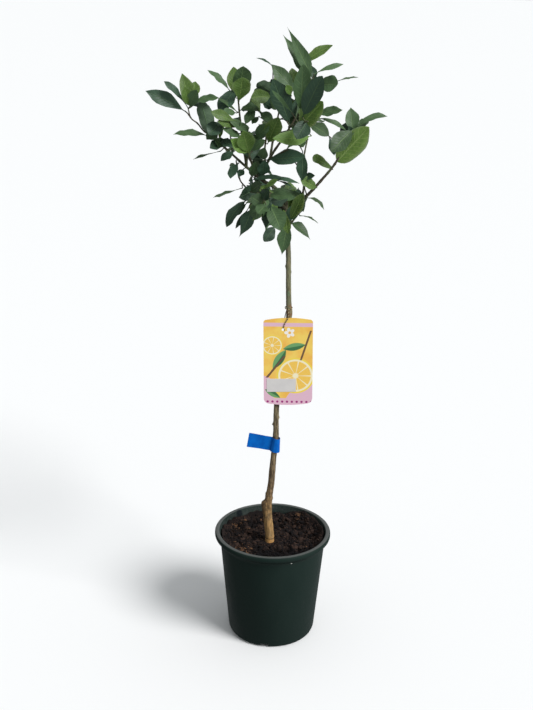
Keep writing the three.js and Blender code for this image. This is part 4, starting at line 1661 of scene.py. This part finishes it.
# Leaves of the crown's lower part
LOW_LEAVES = (
    Seen(
        (242.5, 188), (213.2, 197.5), (-6, -14), 12, 52, 14, LEAFY,
        0.3, -14, 1.2, fold=10, twist=30, skew=1.6,
    ),
    Seen((258.5, 187), (238.8, 197.5), (-50, -80), 22, -22, 14, DEEP, 0.05, 0, 0.85),
    Seen((247, 200), (226.5, 227), (-16, -30), 18, 25, 78, DEEP, 0.25, 0, 0.85),
    Seen((247.5, 202.5), (233, 216.5), (-12, -20), 12, 15, 12, LEAFY, 0.37),
    Seen((248, 209), (235.5, 228.5), (-12, -16), 8, 15, 12, DEEP, 0.17, 0, 0.8),
    Seen((253, 206), (238.6, 238), (-26, -44), 23, 15, 12, DEEP, 0.37, -18, 1.9, skew=0.65),
    Seen((259, 200), (256, 219.5), (-80, -112), 24, 12, 14, LEAFY, 0.32, 0, 0.7),
    Seen((270, 204), (281.5, 231), (-84, -120), 29, 12, 10, LEAFY, 0.42, 0, 0.85),
    Seen((275, 226), (264, 241.5), (-30, -44), 19, -10, 10, DEEP, 0.1, 0, 0.65),
    Seen((285.5, 212), (288, 234.5), (-60, -70), 14, 15, 8, FRESH, 0.12),
    Seen((289, 222), (281.8, 255), (-28, -36), 24, 12, -8, LEAFY, 0.37, 8, 1.4, skew=0.75),
    Seen((290, 197), (271.5, 202), (-50, -76), 20, -40, 10, DEEP, 0, 0, 0.85),
    Seen((265, 197), (295, 198), (-64, -96), 16, 35, 40, LEAFY, 0.47),
    Seen((289.7, 222), (304, 192.8), (-26, -40), 20, 14, 8, FRESH, 0.12, 0, 0.9),
    Seen((305.4, 198), (324, 210), (-10, -16), 9, 50, 70, LEAFY, 0.22, -30),
    Seen((299.6, 215.7), (318, 223.5), (-16, -20), 7, 68, 44, LEAFY),
    Seen((289.6, 222), (310.4, 240), (-16, -26), 19, 38, 40, LEAFY, 0.05, -10, 1.7, skew=0.6),
    Seen((262, 204), (251, 196.5), (-100, -134), 20, 12, 12, LEAFY, 0.07, 0, 0.85),
    Seen((266, 205), (257.5, 214), (-106, -140), 18, 15, 12, LEAFY, 0.17, 0, 0.85),
    Seen((262, 200), (269, 189), (-88, -130), 17, 15, 12, DEEP, 0.47, 0, 0.85),
    Seen((250, 192), (262, 183), (-70, -96), 17, 20, 12, LEAFY, 0.22),
)

SHOOTS = (
    Shoot("left_tip", ((-135, 3, 890), (-140, 2, 897), (-144, 0, 901)), 0),
    Shoot("left_flank", ((-71, 6, 834), (-87, -6, 850), (-99, -14, 870)), 4, (0, 0.2, 0)),
    Shoot("left_flank_up", ((-72, 6, 834), (-74, -8, 860), (-77, -18, 886)), 4, (0, 0.2, 0), extra=True),
    Shoot("left_crest", ((-61, 20, 877), (-62, 18, 904), (-64, 16, 921)), 2, (0, 0.8, 0)),
    Shoot("rosette", ((-41, -14, 822), (-45, -22, 834), (-47, -26, 843)), 3, (0, 0.3, 0.1)),
    Shoot("left_tuft", ((-60, 6, 796), (-64, 2, 812), (-66, 0, 828)), 2),
    Shoot("centre", ((-22, 6, 846), (-20, 8, 866), (-16, 8, 884)), 5, (0, 0.6, 0.1)),
    Shoot("right_mid", ((-14, -10, 832), (0, -24, 842), (12, -36, 850)), 4, (0, 0.5, 0)),
    Shoot("inner", ((-8, -6, 786), (-13, -18, 793), (-17, -28, 800)), 5, (0, 0.3, 0.1)),
    Shoot("shoulder", ((10, -8, 866), (30, -14, 877), (50, -18, 889)), 4, (0, 0.5, 0.1)),
    Shoot("top", ((16, -7, 880), (24, -6, 892), (30, -5, 904)), 7, (0, 0.6, 0.4)),
    Shoot("top_left", ((16, -7, 880), (4, -6, 900), (-8, -8, 924)), 4, (-0.1, 0.6, 0.3), extra=True),
    Shoot("top_right", ((26, -6, 896), (40, 2, 924), (50, 6, 947)), 4, (0, 0.6, 0.2), extra=True),
    Shoot(
        "right_arm", ((78, -9, 816), (90, -9, 834), (104, -9, 860), (110, -9, 874)), 4, (0, 0.7, 0),
        (((352, 134), 52), ((346, 150), 44)),
    ),
    Shoot("arm_low", ((41, -6, 772), (43, -10, 778), (40, -14, 788)), 2, (0, 0.4, 0), extra=True),
    Shoot("low_right", ((18, -3, 729), (27, -8, 742), (34, -12, 752)), 3, (0, 0.5, 0)),
    Shoot("low_front", ((11, -8, 718), (5, -22, 733), (-3, -38, 748)), 3, (0, 0.2, 0)),
    Shoot("low_left", ((-15, -8, 750), (-32, -12, 760), (-46, -14, 768)), 5, (0, 0.4, 0)),
    Shoot(
        "low_back", ((6, 28, 752), (3, 44, 760), (0, 58, 766)), 7, (0, 0.5, 0),
        (((264, 196), 112), ((286, 202), 98), ((272, 214), 78), ((252, 208), 60), ((300, 204), 50)),
    ),
    Shoot(
        "front", ((0, -32, 778), (-14, -66, 788), (-22, -94, 792)), 3, (0, -0.1, 0.1),
        (((262, 200), -146), ((270, 208), -140)),
    ),
    Shoot(
        "back_right", ((46, 76, 850), (42, 84, 846), (34, 92, 842)), 6, (0.1, 0.5, 0.1),
        (
            ((318, 90), 96), ((302, 90), 128), ((300, 116), 112), ((290, 140), 90), ((317, 121), 96),
            ((292, 156), 74), ((303, 168), 70),
        ),
    ),
    Shoot(
        "back_left", ((-52, 70, 833), (-52, 82, 834), (-48, 94, 838)), 6, (-0.1, 0.5, 0.1),
        (
            ((264, 98), 86), ((268, 128), 108), ((248, 146), 116), ((240, 86), 74), ((259, 168), 80),
            ((231, 124), 72), ((218, 130), 50),
        ),
    ),
    Shoot(
        "back_top", ((-2, 40, 892), (0, 50, 902), (2, 60, 912)), 7, (0, 0.5, 0.2),
        (((280, 86), 100), ((298, 76), 80), ((264, 98), 60), ((296, 100), 104), ((282, 104), 118)),
    ),
    Shoot("back_mid", ((40, 36, 801), (30, 50, 812), (18, 62, 826)), 7, (-0.1, 0.4, 0), extra=True),
    Shoot("back_low", ((39, 50, 813), (42, 60, 804), (40, 70, 798)), 3, (0, 0.4, 0), extra=True),
    Shoot("back_left_mid", ((-50, 32, 824), (-40, 46, 836), (-32, 56, 850)), 7, (0, 0.4, 0.1), extra=True),
    Shoot("back_left_low", ((-51, 50, 831), (-46, 60, 818), (-38, 66, 806)), 6, (0, 0.3, 0), extra=True),
    Shoot("back_top_left", ((-9, 20, 862), (-20, 36, 868), (-32, 48, 876)), 6, (-0.1, 0.4, 0.1), extra=True),
    Shoot("back_top_right", ((-4, 34, 884), (12, 46, 890), (26, 54, 900)), 6, (0.1, 0.4, 0.1), extra=True),
    Shoot("low_back_left", ((8, 24, 749), (-10, 34, 752), (-26, 42, 756)), 6, (-0.1, 0.3, 0), extra=True),
    Shoot("low_back_right", ((6, 30, 753), (20, 38, 758), (32, 44, 764)), 4, (0.1, 0.3, 0), extra=True),
    Shoot("front_top", ((28, -44, 890), (34, -58, 894), (38, -70, 897)), 1, (0, 0.1, 0.1)),
)

# Where the crown is dense and where the sky shows through it
DENSE = (
    Patch(198, 98, 10), Patch(203, 114, 9), Patch(218, 130, 10), Patch(231, 124, 12), Patch(240, 84, 13),
    Patch(230, 100, 9), Patch(247, 110, 9), Patch(264, 98, 14), Patch(280, 92, 20), Patch(300, 88, 22),
    Patch(318, 90, 15), Patch(300, 116, 17), Patch(317, 122, 10), Patch(248, 146, 15), Patch(232, 150, 8),
    Patch(235, 170, 8), Patch(268, 128, 12), Patch(259, 168, 15), Patch(290, 142, 17), Patch(292, 156, 13),
    Patch(303, 168, 9), Patch(352, 134, 16), Patch(347, 150, 13), Patch(264, 196, 24), Patch(286, 202, 20),
    Patch(250, 212, 13), Patch(274, 218, 17), Patch(238, 214, 10), Patch(300, 204, 9), Patch(286, 236, 10),
    Patch(308, 182, 8),
)
OPEN_SKY = (
    Patch(241, 112, 2), Patch(264, 110, 3), Patch(228, 132.5, 2), Patch(256, 129, 3), Patch(269, 147, 5),
    Patch(278, 152, 3), Patch(285, 168, 8), Patch(296, 170, 4), Patch(321, 138, 8), Patch(330, 122, 5),
    Patch(285, 102, 1.5), Patch(294, 97, 3), Patch(286, 128, 3), Patch(272, 112, 4), Patch(232, 98, 1.5),
    Patch(225, 106, 2), Patch(206, 128, 2), Patch(251, 117, 2), Patch(246, 187, 0), Patch(272, 186, 2),
    Patch(247, 160, 2), Patch(262, 217, 0), Patch(244, 206, 2), Patch(309, 160, 6), Patch(320, 172, 6),
    Patch(284, 149, 3), Patch(294, 149, 3),
)


@dataclass
class Crown:
    """Twigs and leaves that grow on from the boughs.

    Longest and shortest are sizes of a leaf that the rule adds, and deal_out the shares in which
    such leaves get their tones. Margin is the room in pixels round a leaf that shows, pixel_span
    what a pixel covers in the crown, back the greatest Y of a tip, and roll the spread in degrees
    by which leaves turn about their midrib. A retry starts a turn further round the shoot.
    """

    view: View = View()
    longest: float = 80.0
    shortest: float = 42.0
    deal_out: tuple[int, ...] = (42, 45, 13, 0)
    seed: int = 5
    tries: int = 60
    retry_turn: float = 47.0
    margin: float = 5.0
    pixel_span: float = 1.55
    back: float = 142.0
    roll: float = 38.0
    twig_sides: int = 7
    shoot_radii: tuple[float, float] = (1.3, 0.85)
    twig_tip: float = 0.75
    leaves: list[Leaf] = field(default_factory=list)
    twigs: list[tuple[np.ndarray, float, float]] = field(default_factory=list)
    limbs: list[np.ndarray] = field(default_factory=list)
    shown: list[Point] = field(default_factory=list)

    def fits(self, base: np.ndarray, tip: np.ndarray, width: float) -> bool:
        """Whether there is room for a leaf that doesn't show in the photograph.

        Args:
            base: Its foot.
            tip: Its tip.
            width: Its width.

        Returns:
            Whether it lies where the crown is dense, hides no leaf and keeps the sky open.
        """
        if tip[1] > self.back:
            return False
        seen = np.array(self.shown)
        for share in (0.35, 0.6, 0.8, 1.0):
            place = base + (tip - base) * share
            pixel = self.view.pixel(place)
            half = width / (2 * self.pixel_span) * math.sin(math.pi * min(share, 0.97)) * 0.8
            if max(patch.clearance(pixel) for patch in DENSE) < half:
                return False
            if max(patch.clearance(pixel) for patch in OPEN_SKY) > -half:
                return False
            close = np.hypot(seen[:, 0] - pixel[0], seen[:, 1] - pixel[1]) < half + self.margin
            if np.any(seen[close, 2] > place[1]):
                return False
        return True

    def nearest(self, place: np.ndarray) -> np.ndarray:
        """The point of all limbs and shoots that is nearest to a place."""
        every = np.vstack(self.limbs)
        return every[int(np.argmin(np.linalg.norm(every - place, axis=1)))]

    def twig(self, start: np.ndarray, end: np.ndarray, rng: random.Random) -> None:
        """Grows a side twig between two places, unless they all but touch.

        Args:
            start: Where it leaves its shoot.
            end: Where it ends.
            rng: The shoot's own chance.
        """
        far = float(np.linalg.norm(end - start))
        if far < 1.5:
            return
        sag = np.array([rng.uniform(-1, most) for most in (1, 1, 0.4)]) * far * 0.08
        line = smooth_line([tuple(start), tuple((start + end) / 2 + sag), tuple(end)], max(3, int(far / 4)))
        self.twigs.append((line, min(1.2, 0.8 + far / 80), self.twig_tip))

    def add(self, leaf: Leaf, rng: random.Random) -> None:
        """Adds a leaf with its own small habits.

        Args:
            leaf: The leaf.
            rng: The chance that deals them.
        """
        leaf.phase = rng.uniform(0, math.tau)
        leaf.wave = rng.uniform(0.6, 1.8) * min(1.0, leaf.width / 16)
        leaf.own = clamped(rng.gauss(leaf.own, 0.08))
        self.leaves.append(leaf)

    def show(self, seen: Seen, rng: random.Random) -> None:
        """Grows a leaf of the photograph on a twig of its own.

        Args:
            seen: The leaf.
            rng: The chance of its habits.
        """
        base, tip = (self.view.spot(*end) for end in zip((seen.foot, seen.tip), seen.depth))
        for share in (0.35, 0.6, 0.85):
            place = base + (tip - base) * share
            self.shown.append((*self.view.pixel(place), place[1]))
        self.twig(self.nearest(base), base, rng)
        ahead = unit(tip - base)
        towards = np.array(self.view.eye) - (base + tip) / 2
        towards = unit(towards - ahead * float(np.dot(towards, ahead)))
        upwards = np.cross(ahead, towards)
        upwards = upwards if upwards[2] > -0.2 else -upwards
        facing = spoke(towards, upwards, math.radians(seen.turn))
        leaf = Leaf(
            base, tip, seen.width, facing, seen.arch, seen.tone,
            seen.sway, seen.fold, seen.twist, seen.blunt, seen.skew, seen.light,
        )
        self.add(leaf, rng)

    def deal(self, rng: random.Random) -> Tone:
        """A tone for a leaf that the rule adds."""
        return rng.choices(list(Tone), self.deal_out)[0]

    def sprout(
        self, base: np.ndarray, way: np.ndarray, out: np.ndarray, share: float, rng: random.Random
    ) -> bool:
        """Grows one leaf by the rule if it fits.

        Args:
            base: Where it stands.
            way: Its direction.
            out: The direction away from the shoot.
            share: Its size between the shortest and the longest.
            rng: The shoot's own chance.

        Returns:
            Whether it was grown.
        """
        length = self.shortest + (self.longest - self.shortest) * share
        tip = base + way * length
        width = length * rng.uniform(0.33, 0.46)
        if not self.fits(base, tip, width):
            return False
        facing = unit(np.array([0.15, -0.2, 1.0]) + out * 0.3)
        facing = turned(facing, way, math.radians(rng.gauss(0, self.roll)))
        # The leaf's lightness varies at random within a range kept light, which also paints light into the
        # shaded middle of the crown.
        leaf = Leaf(
            base, tip, width, facing, rng.uniform(4, 40), self.deal(rng),
            rng.uniform(-14, 14), rng.uniform(6, 22), rng.uniform(-18, 18),
            rng.uniform(0.75, 1.2), 1.0, rng.uniform(0.25, 0.9), plain=True,
        )
        self.add(leaf, rng)
        return True

    def follow(self, line: np.ndarray, count: int, lean: Sequence[float], rng: random.Random) -> None:
        """Grows leaves in a spiral along a shoot, clear of the gaps.

        Args:
            line: The shoot's points.
            count: How many leaves to try for.
            lean: What is added to each leaf's direction.
            rng: The shoot's own chance.
        """
        axis = unit(line[-1] - line[0])
        side = unit(np.cross(axis, [0.3, 0.2, 0.9]))
        for k in range(count):
            at = 0.1 + 0.9 * (k + 0.5) / count
            spot = at * (len(line) - 1)
            low = min(int(spot), len(line) - 2)
            base = line[low] + (line[low + 1] - line[low]) * (spot - low)
            for attempt in range(self.tries):
                turn = GOLDEN_ANGLE * k + self.retry_turn * attempt + rng.uniform(-20, 20)
                out = turned(side, axis, math.radians(turn))
                open_by = math.radians(84 - 40 * at + rng.uniform(-16, 16))
                way = unit(spoke(axis, out, open_by) + lean + [0, 0, -0.1])
                if self.sprout(base, way, out, rng.random() * (1.0 - attempt / self.tries), rng):
                    break

    def reach(self, line: np.ndarray, far: np.ndarray, rng: random.Random) -> None:
        """Grows a side twig to a far place, with a leaf that ends there and others below it.

        Args:
            line: The shoot's points.
            far: The far place.
            rng: The shoot's own chance.
        """
        base = line[int(rng.uniform(0.5, 1.0) * (len(line) - 1))]
        gap = float(np.linalg.norm(far - base))
        length = min(self.longest * 0.9, max(gap * 0.75, 40))
        end = base + (far - base) * max(0.0, 1 - length / gap)
        self.twig(base, end, rng)
        way = unit(far - end)
        facing = unit(np.array([0, 0, 1.0]) - way * way[2] + way * 0.1)
        facing = turned(facing, way, math.radians(rng.gauss(0, self.roll)))
        leaf = Leaf(end, far, rng.uniform(19, 27), facing, rng.uniform(8, 30), self.deal(rng), plain=True)
        leaf.blunt = rng.uniform(0.75, 1.0)
        if self.fits(end, far, leaf.width):
            self.add(leaf, rng)
        stem = np.linspace(base, end if np.linalg.norm(end - base) >= 2 else base + way * 8, 4)
        self.follow(stem, 3, (0, 0.1, 0.05), rng)

    def grow(self) -> None:
        """Grows the leaves that show, then every shoot by its own seed."""
        lines = [smooth_line(shoot.line, 16) for shoot in SHOOTS]
        self.limbs += [*(smooth_line(bough.line, 60) for bough in BOUGHS), *lines]
        rng = random.Random(self.seed)
        for seen in (*LEFT_LEAVES, *MIDDLE_LEAVES, *TOP_LEAVES, *LOW_LEAVES):
            self.show(seen, rng)
        for number, (shoot, line) in enumerate(zip(SHOOTS, lines)):
            rng = random.Random(self.seed * 100 + number)
            self.twigs.append((line, *self.shoot_radii))
            for pixel, depth in shoot.tips:
                self.reach(line, self.view.spot(pixel, depth), rng)
            self.follow(line, shoot.fill, shoot.lean, rng)

    def leaf_pieces(self) -> None:
        """Joins the leaves of each tone into a piece."""
        patterns = {form: form.faces() for form in (FULL_FORM, PLAIN_FORM)}
        nodes = [f"foliage_{shoot.name}" for shoot in SHOOTS if not shoot.extra]
        for tone in Tone:
            vertices, faces, sides, places, shades = [], [], [], [], []
            for leaf in (leaf for leaf in self.leaves if leaf.tone is tone):
                form = PLAIN_FORM if leaf.plain else FULL_FORM
                pattern, under, spots = patterns[form]
                faces += [tuple(i + len(places) for i in face) for face in pattern]
                vertices.append(form.vertices(leaf))
                sides.append(under)
                places += spots
                shades += [leaf.own] * len(spots)
            mesh = Shop.from_arrays(f"leaves_{tone.name.lower()}", vertices, faces)
            mesh.polygons.foreach_set("material_index", np.concatenate(sides))
            corner = np.zeros(len(mesh.loops), np.int32)
            mesh.loops.foreach_get("vertex_index", corner)
            layer = mesh.uv_layers.new(name="leaf")
            layer.data.foreach_set("uv", np.array(places)[corner].astype(np.float32).ravel())
            own = mesh.attributes.new("own", "FLOAT", "POINT")
            own.data.foreach_set("value", np.array(shades, np.float32))
            skins = [LeafSkin(tone, under).material() for under in (False, True)]
            Shop.publish(mesh, "leaf", skins, nodes if tone is Tone.DEEP else [], 62)

    def twig_piece(self, finish: bpy.types.Material) -> None:
        """Joins all twigs into a piece.

        Args:
            finish: Their material.
        """
        sides = self.twig_sides
        angles = [math.tau * j / sides for j in range(sides)]
        rows, faces = [], []
        for line, foot, tip in self.twigs:
            start = len(rows) * sides
            radii = np.linspace(foot, tip, len(line))
            for centre, radius, (_, side, up) in zip(line, radii, rolling_frames(line)):
                rows.append(np.array([centre + spoke(side, up, angle) * radius for angle in angles]))
            end = (len(rows) - 1) * sides
            for row in range(start, end, sides):
                ring = [(row + j, row + (j + 1) % sides) for j in range(sides)]
                faces += [(a, b, b + sides, a + sides) for a, b in ring]
            faces += [tuple(range(start, start + sides))[::-1], tuple(range(end, end + sides))]
        Shop.publish(Shop.from_arrays("twigs", rows, faces), "green_bark", [finish], sharp=60)

    def build(self, finish: bpy.types.Material) -> None:
        """Grows the crown and makes its pieces.

        Args:
            finish: The twigs' material.
        """
        self.grow()
        log.info("%d leaves, %d twigs", len(self.leaves), len(self.twigs))
        self.leaf_pieces()
        self.twig_piece(finish)


# Card, tie and wrapped label

CARD_EYE: Point = (12.0, -6.8, 559.6)


@dataclass
class HangingCard:
    """The printed card and the bare sticker on it: the frame's shapes, hanging a little askew."""

    askew: float = 1.0
    shift: float = -0.6

    def build(self, nodes: dict[str, bpy.types.Object]) -> None:
        """Turns copies of the frame's card and sticker about the eye and dresses them.

        Args:
            nodes: The frame's nodes by name.
        """
        eye = Vector(CARD_EYE) * MM
        turn = Matrix.Rotation(math.radians(-self.askew), 4, "Y")
        turn = Matrix.Translation(eye + Vector((self.shift * MM, 0, 0))) @ turn @ Matrix.Translation(-eye)
        for node, slot, skin in (("card", "card", CardPrint()), ("card_sticker", "sticker", STICKER_PAPER)):
            mesh = nodes[node].data.copy()
            mesh.name = f"{node}_hung"
            mesh.materials.clear()
            mesh.transform(turn)
            Shop.publish(mesh, slot, [skin.material()], [node])


@dataclass
class Twine:
    """Two twisted strands: a ring round the stem and a drop through the card's eye.

    Strand is a strand's radius, lay its distance from the middle line, pitch the length of one
    twist and step the distance between rows of faces. Stem is the ring's middle, and loop the
    drop's reach round the card's edge at the eye.
    """

    strand: float = 0.5
    lay: float = 0.45
    pitch: float = 4.6
    step: float = 0.55
    stem: Point = (19.7, 0.9, 592.0)
    ring: float = 5.5
    tilt: float = 14.0
    loop: float = 1.5

    def routes(self) -> list[list[Point]]:
        """The ways that the twine takes.

        Returns:
            Middle lines of the ring, and of the drop in front with the climb behind.
        """
        x, y, z = self.stem
        cosine, sine = math.cos(math.radians(self.tilt)), math.sin(math.radians(self.tilt))
        ring = []
        for angle in (math.tau * k / 24 for k in range(25)):
            deep = self.ring * math.sin(angle)
            ring.append((x + self.ring * math.cos(angle), y + deep * cosine, z + deep * sine))
        ex, ey, ez = CARD_EYE
        front, behind, top = ey - self.loop, ey + self.loop, ez + self.loop
        drop = [(x - 1, y - self.ring * cosine, z - self.ring * sine)]
        drop += [(ex + 7, front - 0.6, z - 14), (ex + 2, front, top + 7), (ex, front, top)]
        for angle in (math.pi * (1 + k / 6) for k in range(1, 6)):
            drop.append((ex, ey + self.loop * math.cos(angle), top + self.loop * math.sin(angle)))
        drop += [(ex, behind, top), (ex + 0.6, behind + 0.5, top + 4)]
        drop += [(x - 5.8, y - 0.6, z - 16), (x - 3.6, y + 5.2, z - 8), (x - 1, y + self.ring, z + 1)]
        return [ring, drop]

    def build(self, finishes: Sequence[bpy.types.Material]) -> None:
        """Twists two strands along each route.

        Args:
            finishes: The material of each strand.
        """
        whole = bmesh.new()
        for route in self.routes():
            length = float(run_of(np.array(route))[-1])
            steps = int(length / self.step)
            line = smooth_line(route, steps)
            frames = rolling_frames(line)
            twist = math.tau * length / steps / self.pitch
            for strand, half in enumerate((0.0, math.pi)):
                winding = [
                    centre + spoke(side, up, half + k * twist) * self.lay
                    for k, (centre, (_, side, up)) in enumerate(zip(line, frames))
                ]
                part = Shop.swept(np.array(winding), lambda step, angle: self.strand, 7)
                for face in part.faces:
                    face.material_index = strand
                spare = bpy.data.meshes.new("strand")
                part.to_mesh(spare)
                part.free()
                whole.from_mesh(spare)
                bpy.data.meshes.remove(spare)
        Shop.publish(Shop.from_bmesh("twine", whole), "string", finishes, ["card_tie"], 70)


@dataclass
class WrapLabel:
    """A strip of film passed round the stem, its ends stuck together as a flag.

    Waves are the flag's ripples as length and height, curl is how far its end leans, crease the
    unevenness of the loop, and slant how far the loop leans over its height.
    """

    middle: Point = (2.4, -0.4, 351.5)
    tall: float = 24.6
    loop: float = 7.2
    flag: float = 40.0
    lean: float = 9.6
    film: float = 0.35
    gap: float = 0.26
    rows: int = 8
    waves: tuple[float, ...] = (6.0, 0.5, 2.3, 0.12)
    curl: float = 1.2
    crease: float = 0.018
    slant: float = 0.15

    def plan(self) -> list[tuple[float, float]]:
        """The strip from above.

        Returns:
            Its points along the flag, round the stem and back.
        """
        join = math.asin(self.gap / self.loop)
        turns = [-math.pi + join + (math.tau - 2 * join) * k / 40 for k in range(41)]
        out = [-self.loop - self.flag * k / 16 for k in range(1, 17)]
        way = [(x, -self.gap) for x in reversed(out)]
        way += [(self.loop * math.cos(a), self.loop * math.sin(a)) for a in turns]
        return way + [(x, self.gap) for x in out]

    def build(self, finish: bpy.types.Material) -> None:
        """Raises the plan to the strip's height, ripples the flag and gives it thickness.

        Args:
            finish: The film's material.
        """
        shape = bmesh.new()
        _, edges = Shop.chain(shape, [(x, y, -self.tall / 2) for x, y in self.plan()])
        for _ in range(self.rows):
            fresh, edges = Shop.drawn(shape, edges)
            bmesh.ops.translate(shape, verts=list(fresh), vec=(0, 0, self.tall / self.rows))
        long, high, short, low = self.waves
        for vert in shape.verts:
            out = max(0.0, -vert.co.x - self.loop) / self.flag
            ripple = math.sin(vert.co.x / long + vert.co.z / 14) * high + math.sin(vert.co.x / short) * low
            vert.co.y += out * (ripple + self.curl * out * math.sin(vert.co.z / 9))
            if out == 0:
                vert.co.xy *= 1 + self.crease * math.sin(math.atan2(vert.co.y, vert.co.x) * 9)
                vert.co.x -= vert.co.z * self.slant * (vert.co.x / self.loop + 1) / 2
        turn = Matrix.Translation(self.middle) @ Matrix.Rotation(math.radians(self.lean), 4, "Y")
        bmesh.ops.transform(shape, matrix=turn, verts=shape.verts)
        bmesh.ops.recalc_face_normals(shape, faces=shape.faces)
        bmesh.ops.solidify(shape, geom=list(shape.faces), thickness=self.film)
        Shop.publish(Shop.from_bmesh("wrap_film", shape), "wrap_film", [finish], ["wrap_label"], 45)


# Studio


@dataclass
class Studio:
    """A plain pale floor, soft light from the right and the photograph's camera.

    Sensor is in millimetres and floor_size in metres. The sun stands towards a direction, has a
    power and an apparent size in degrees, and the sky has a strength on its left and its right.
    """

    view: View = View()
    sensor: float = 36.0
    long_side: float = 710.0
    floor_size: float = 140.0
    floor_white: float = 0.9
    sun_towards: Point = (0.59, -0.44, 0.68)
    sun_power: float = 2.95
    sun_size: float = 26.0
    sky_strength: tuple[float, float] = (0.30, 0.64)
    sky_colour: Colour = (0.96, 1.0, 1.02, 1.0)

    def camera(self) -> None:
        """Sets up the camera."""
        data = bpy.data.cameras.new("camera")
        data.lens, data.sensor_width = self.view.focal * self.sensor / self.long_side, self.sensor
        data.clip_end = 500
        camera = link("camera", data)
        camera.location = Vector(self.view.eye) * MM
        tilt = Matrix.Rotation(math.radians(90 - self.view.pitch), 3, "X")
        camera.rotation_euler = (tilt @ Matrix.Rotation(math.radians(self.view.roll), 3, "Z")).to_euler()
        bpy.context.scene.camera = camera

    def floor(self) -> None:
        """Lays the floor."""
        shape = bmesh.new()
        bmesh.ops.create_grid(shape, x_segments=4, y_segments=4, size=self.floor_size / 2)
        mesh = bpy.data.meshes.new("floor")
        shape.to_mesh(mesh)
        shape.free()
        white = (self.floor_white, self.floor_white, self.floor_white, 1.0)
        mesh.materials.append(Bench("floor_paper").finish(white, 0.9, Specular_IOR_Level=0.1))
        floor = link("floor", mesh)
        floor.visible_diffuse = False
        floor.visible_glossy = False

    def sun(self) -> None:
        """Lights the set from far away, with shadows as soft as the lamp is large."""
        data = bpy.data.lights.new("key", "SUN")
        data.energy, data.angle = self.sun_power, math.radians(self.sun_size)
        link("key", data).rotation_euler = (-Vector(self.sun_towards)).to_track_quat("-Z", "Y").to_euler()

    def sky(self) -> None:
        """Surrounds the set with a soft white that is weaker on the left."""
        world = bpy.data.worlds.new("soft_box")
        bpy.context.scene.world = world
        bench = Bench("soft_box", world)
        across = bench.split(bench.node("ShaderNodeTexCoord").outputs["Generated"])[0]
        left, right = self.sky_strength
        spread = {"Value": across, "From Min": -1.0, "From Max": 1.0, "To Min": left, "To Max": right}
        strength = bench.node("ShaderNodeMapRange", None, spread).outputs[0]
        sockets = {"Color": self.sky_colour, "Strength": strength}
        bench.close("ShaderNodeOutputWorld", bench.node("ShaderNodeBackground", None, sockets))

    def build(self) -> None:
        """Sets up everything round the plant."""
        self.camera()
        self.floor()
        self.sun()
        self.sky()
        bpy.context.scene.view_settings.view_transform = "Standard"


def main() -> None:
    """Builds the whole plant round the frame."""
    logging.basicConfig(level=logging.INFO, format="%(message)s")
    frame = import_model()
    Studio().build()
    pot = Pot()
    pot.build(PotPlastic().material())
    Compost(pot).build()
    Stem().build(StemBark().material())
    green = YoungBark().material()
    for bough in BOUGHS:
        bough.build(green)
    Crown().build(green)
    HangingCard().build(frame["nodes"])
    Twine().build([DARK_STRAND.material(), PALE_STRAND.material()])
    WrapLabel().build(BLUE_FILM.material())


if __name__ == "__main__":
    main()
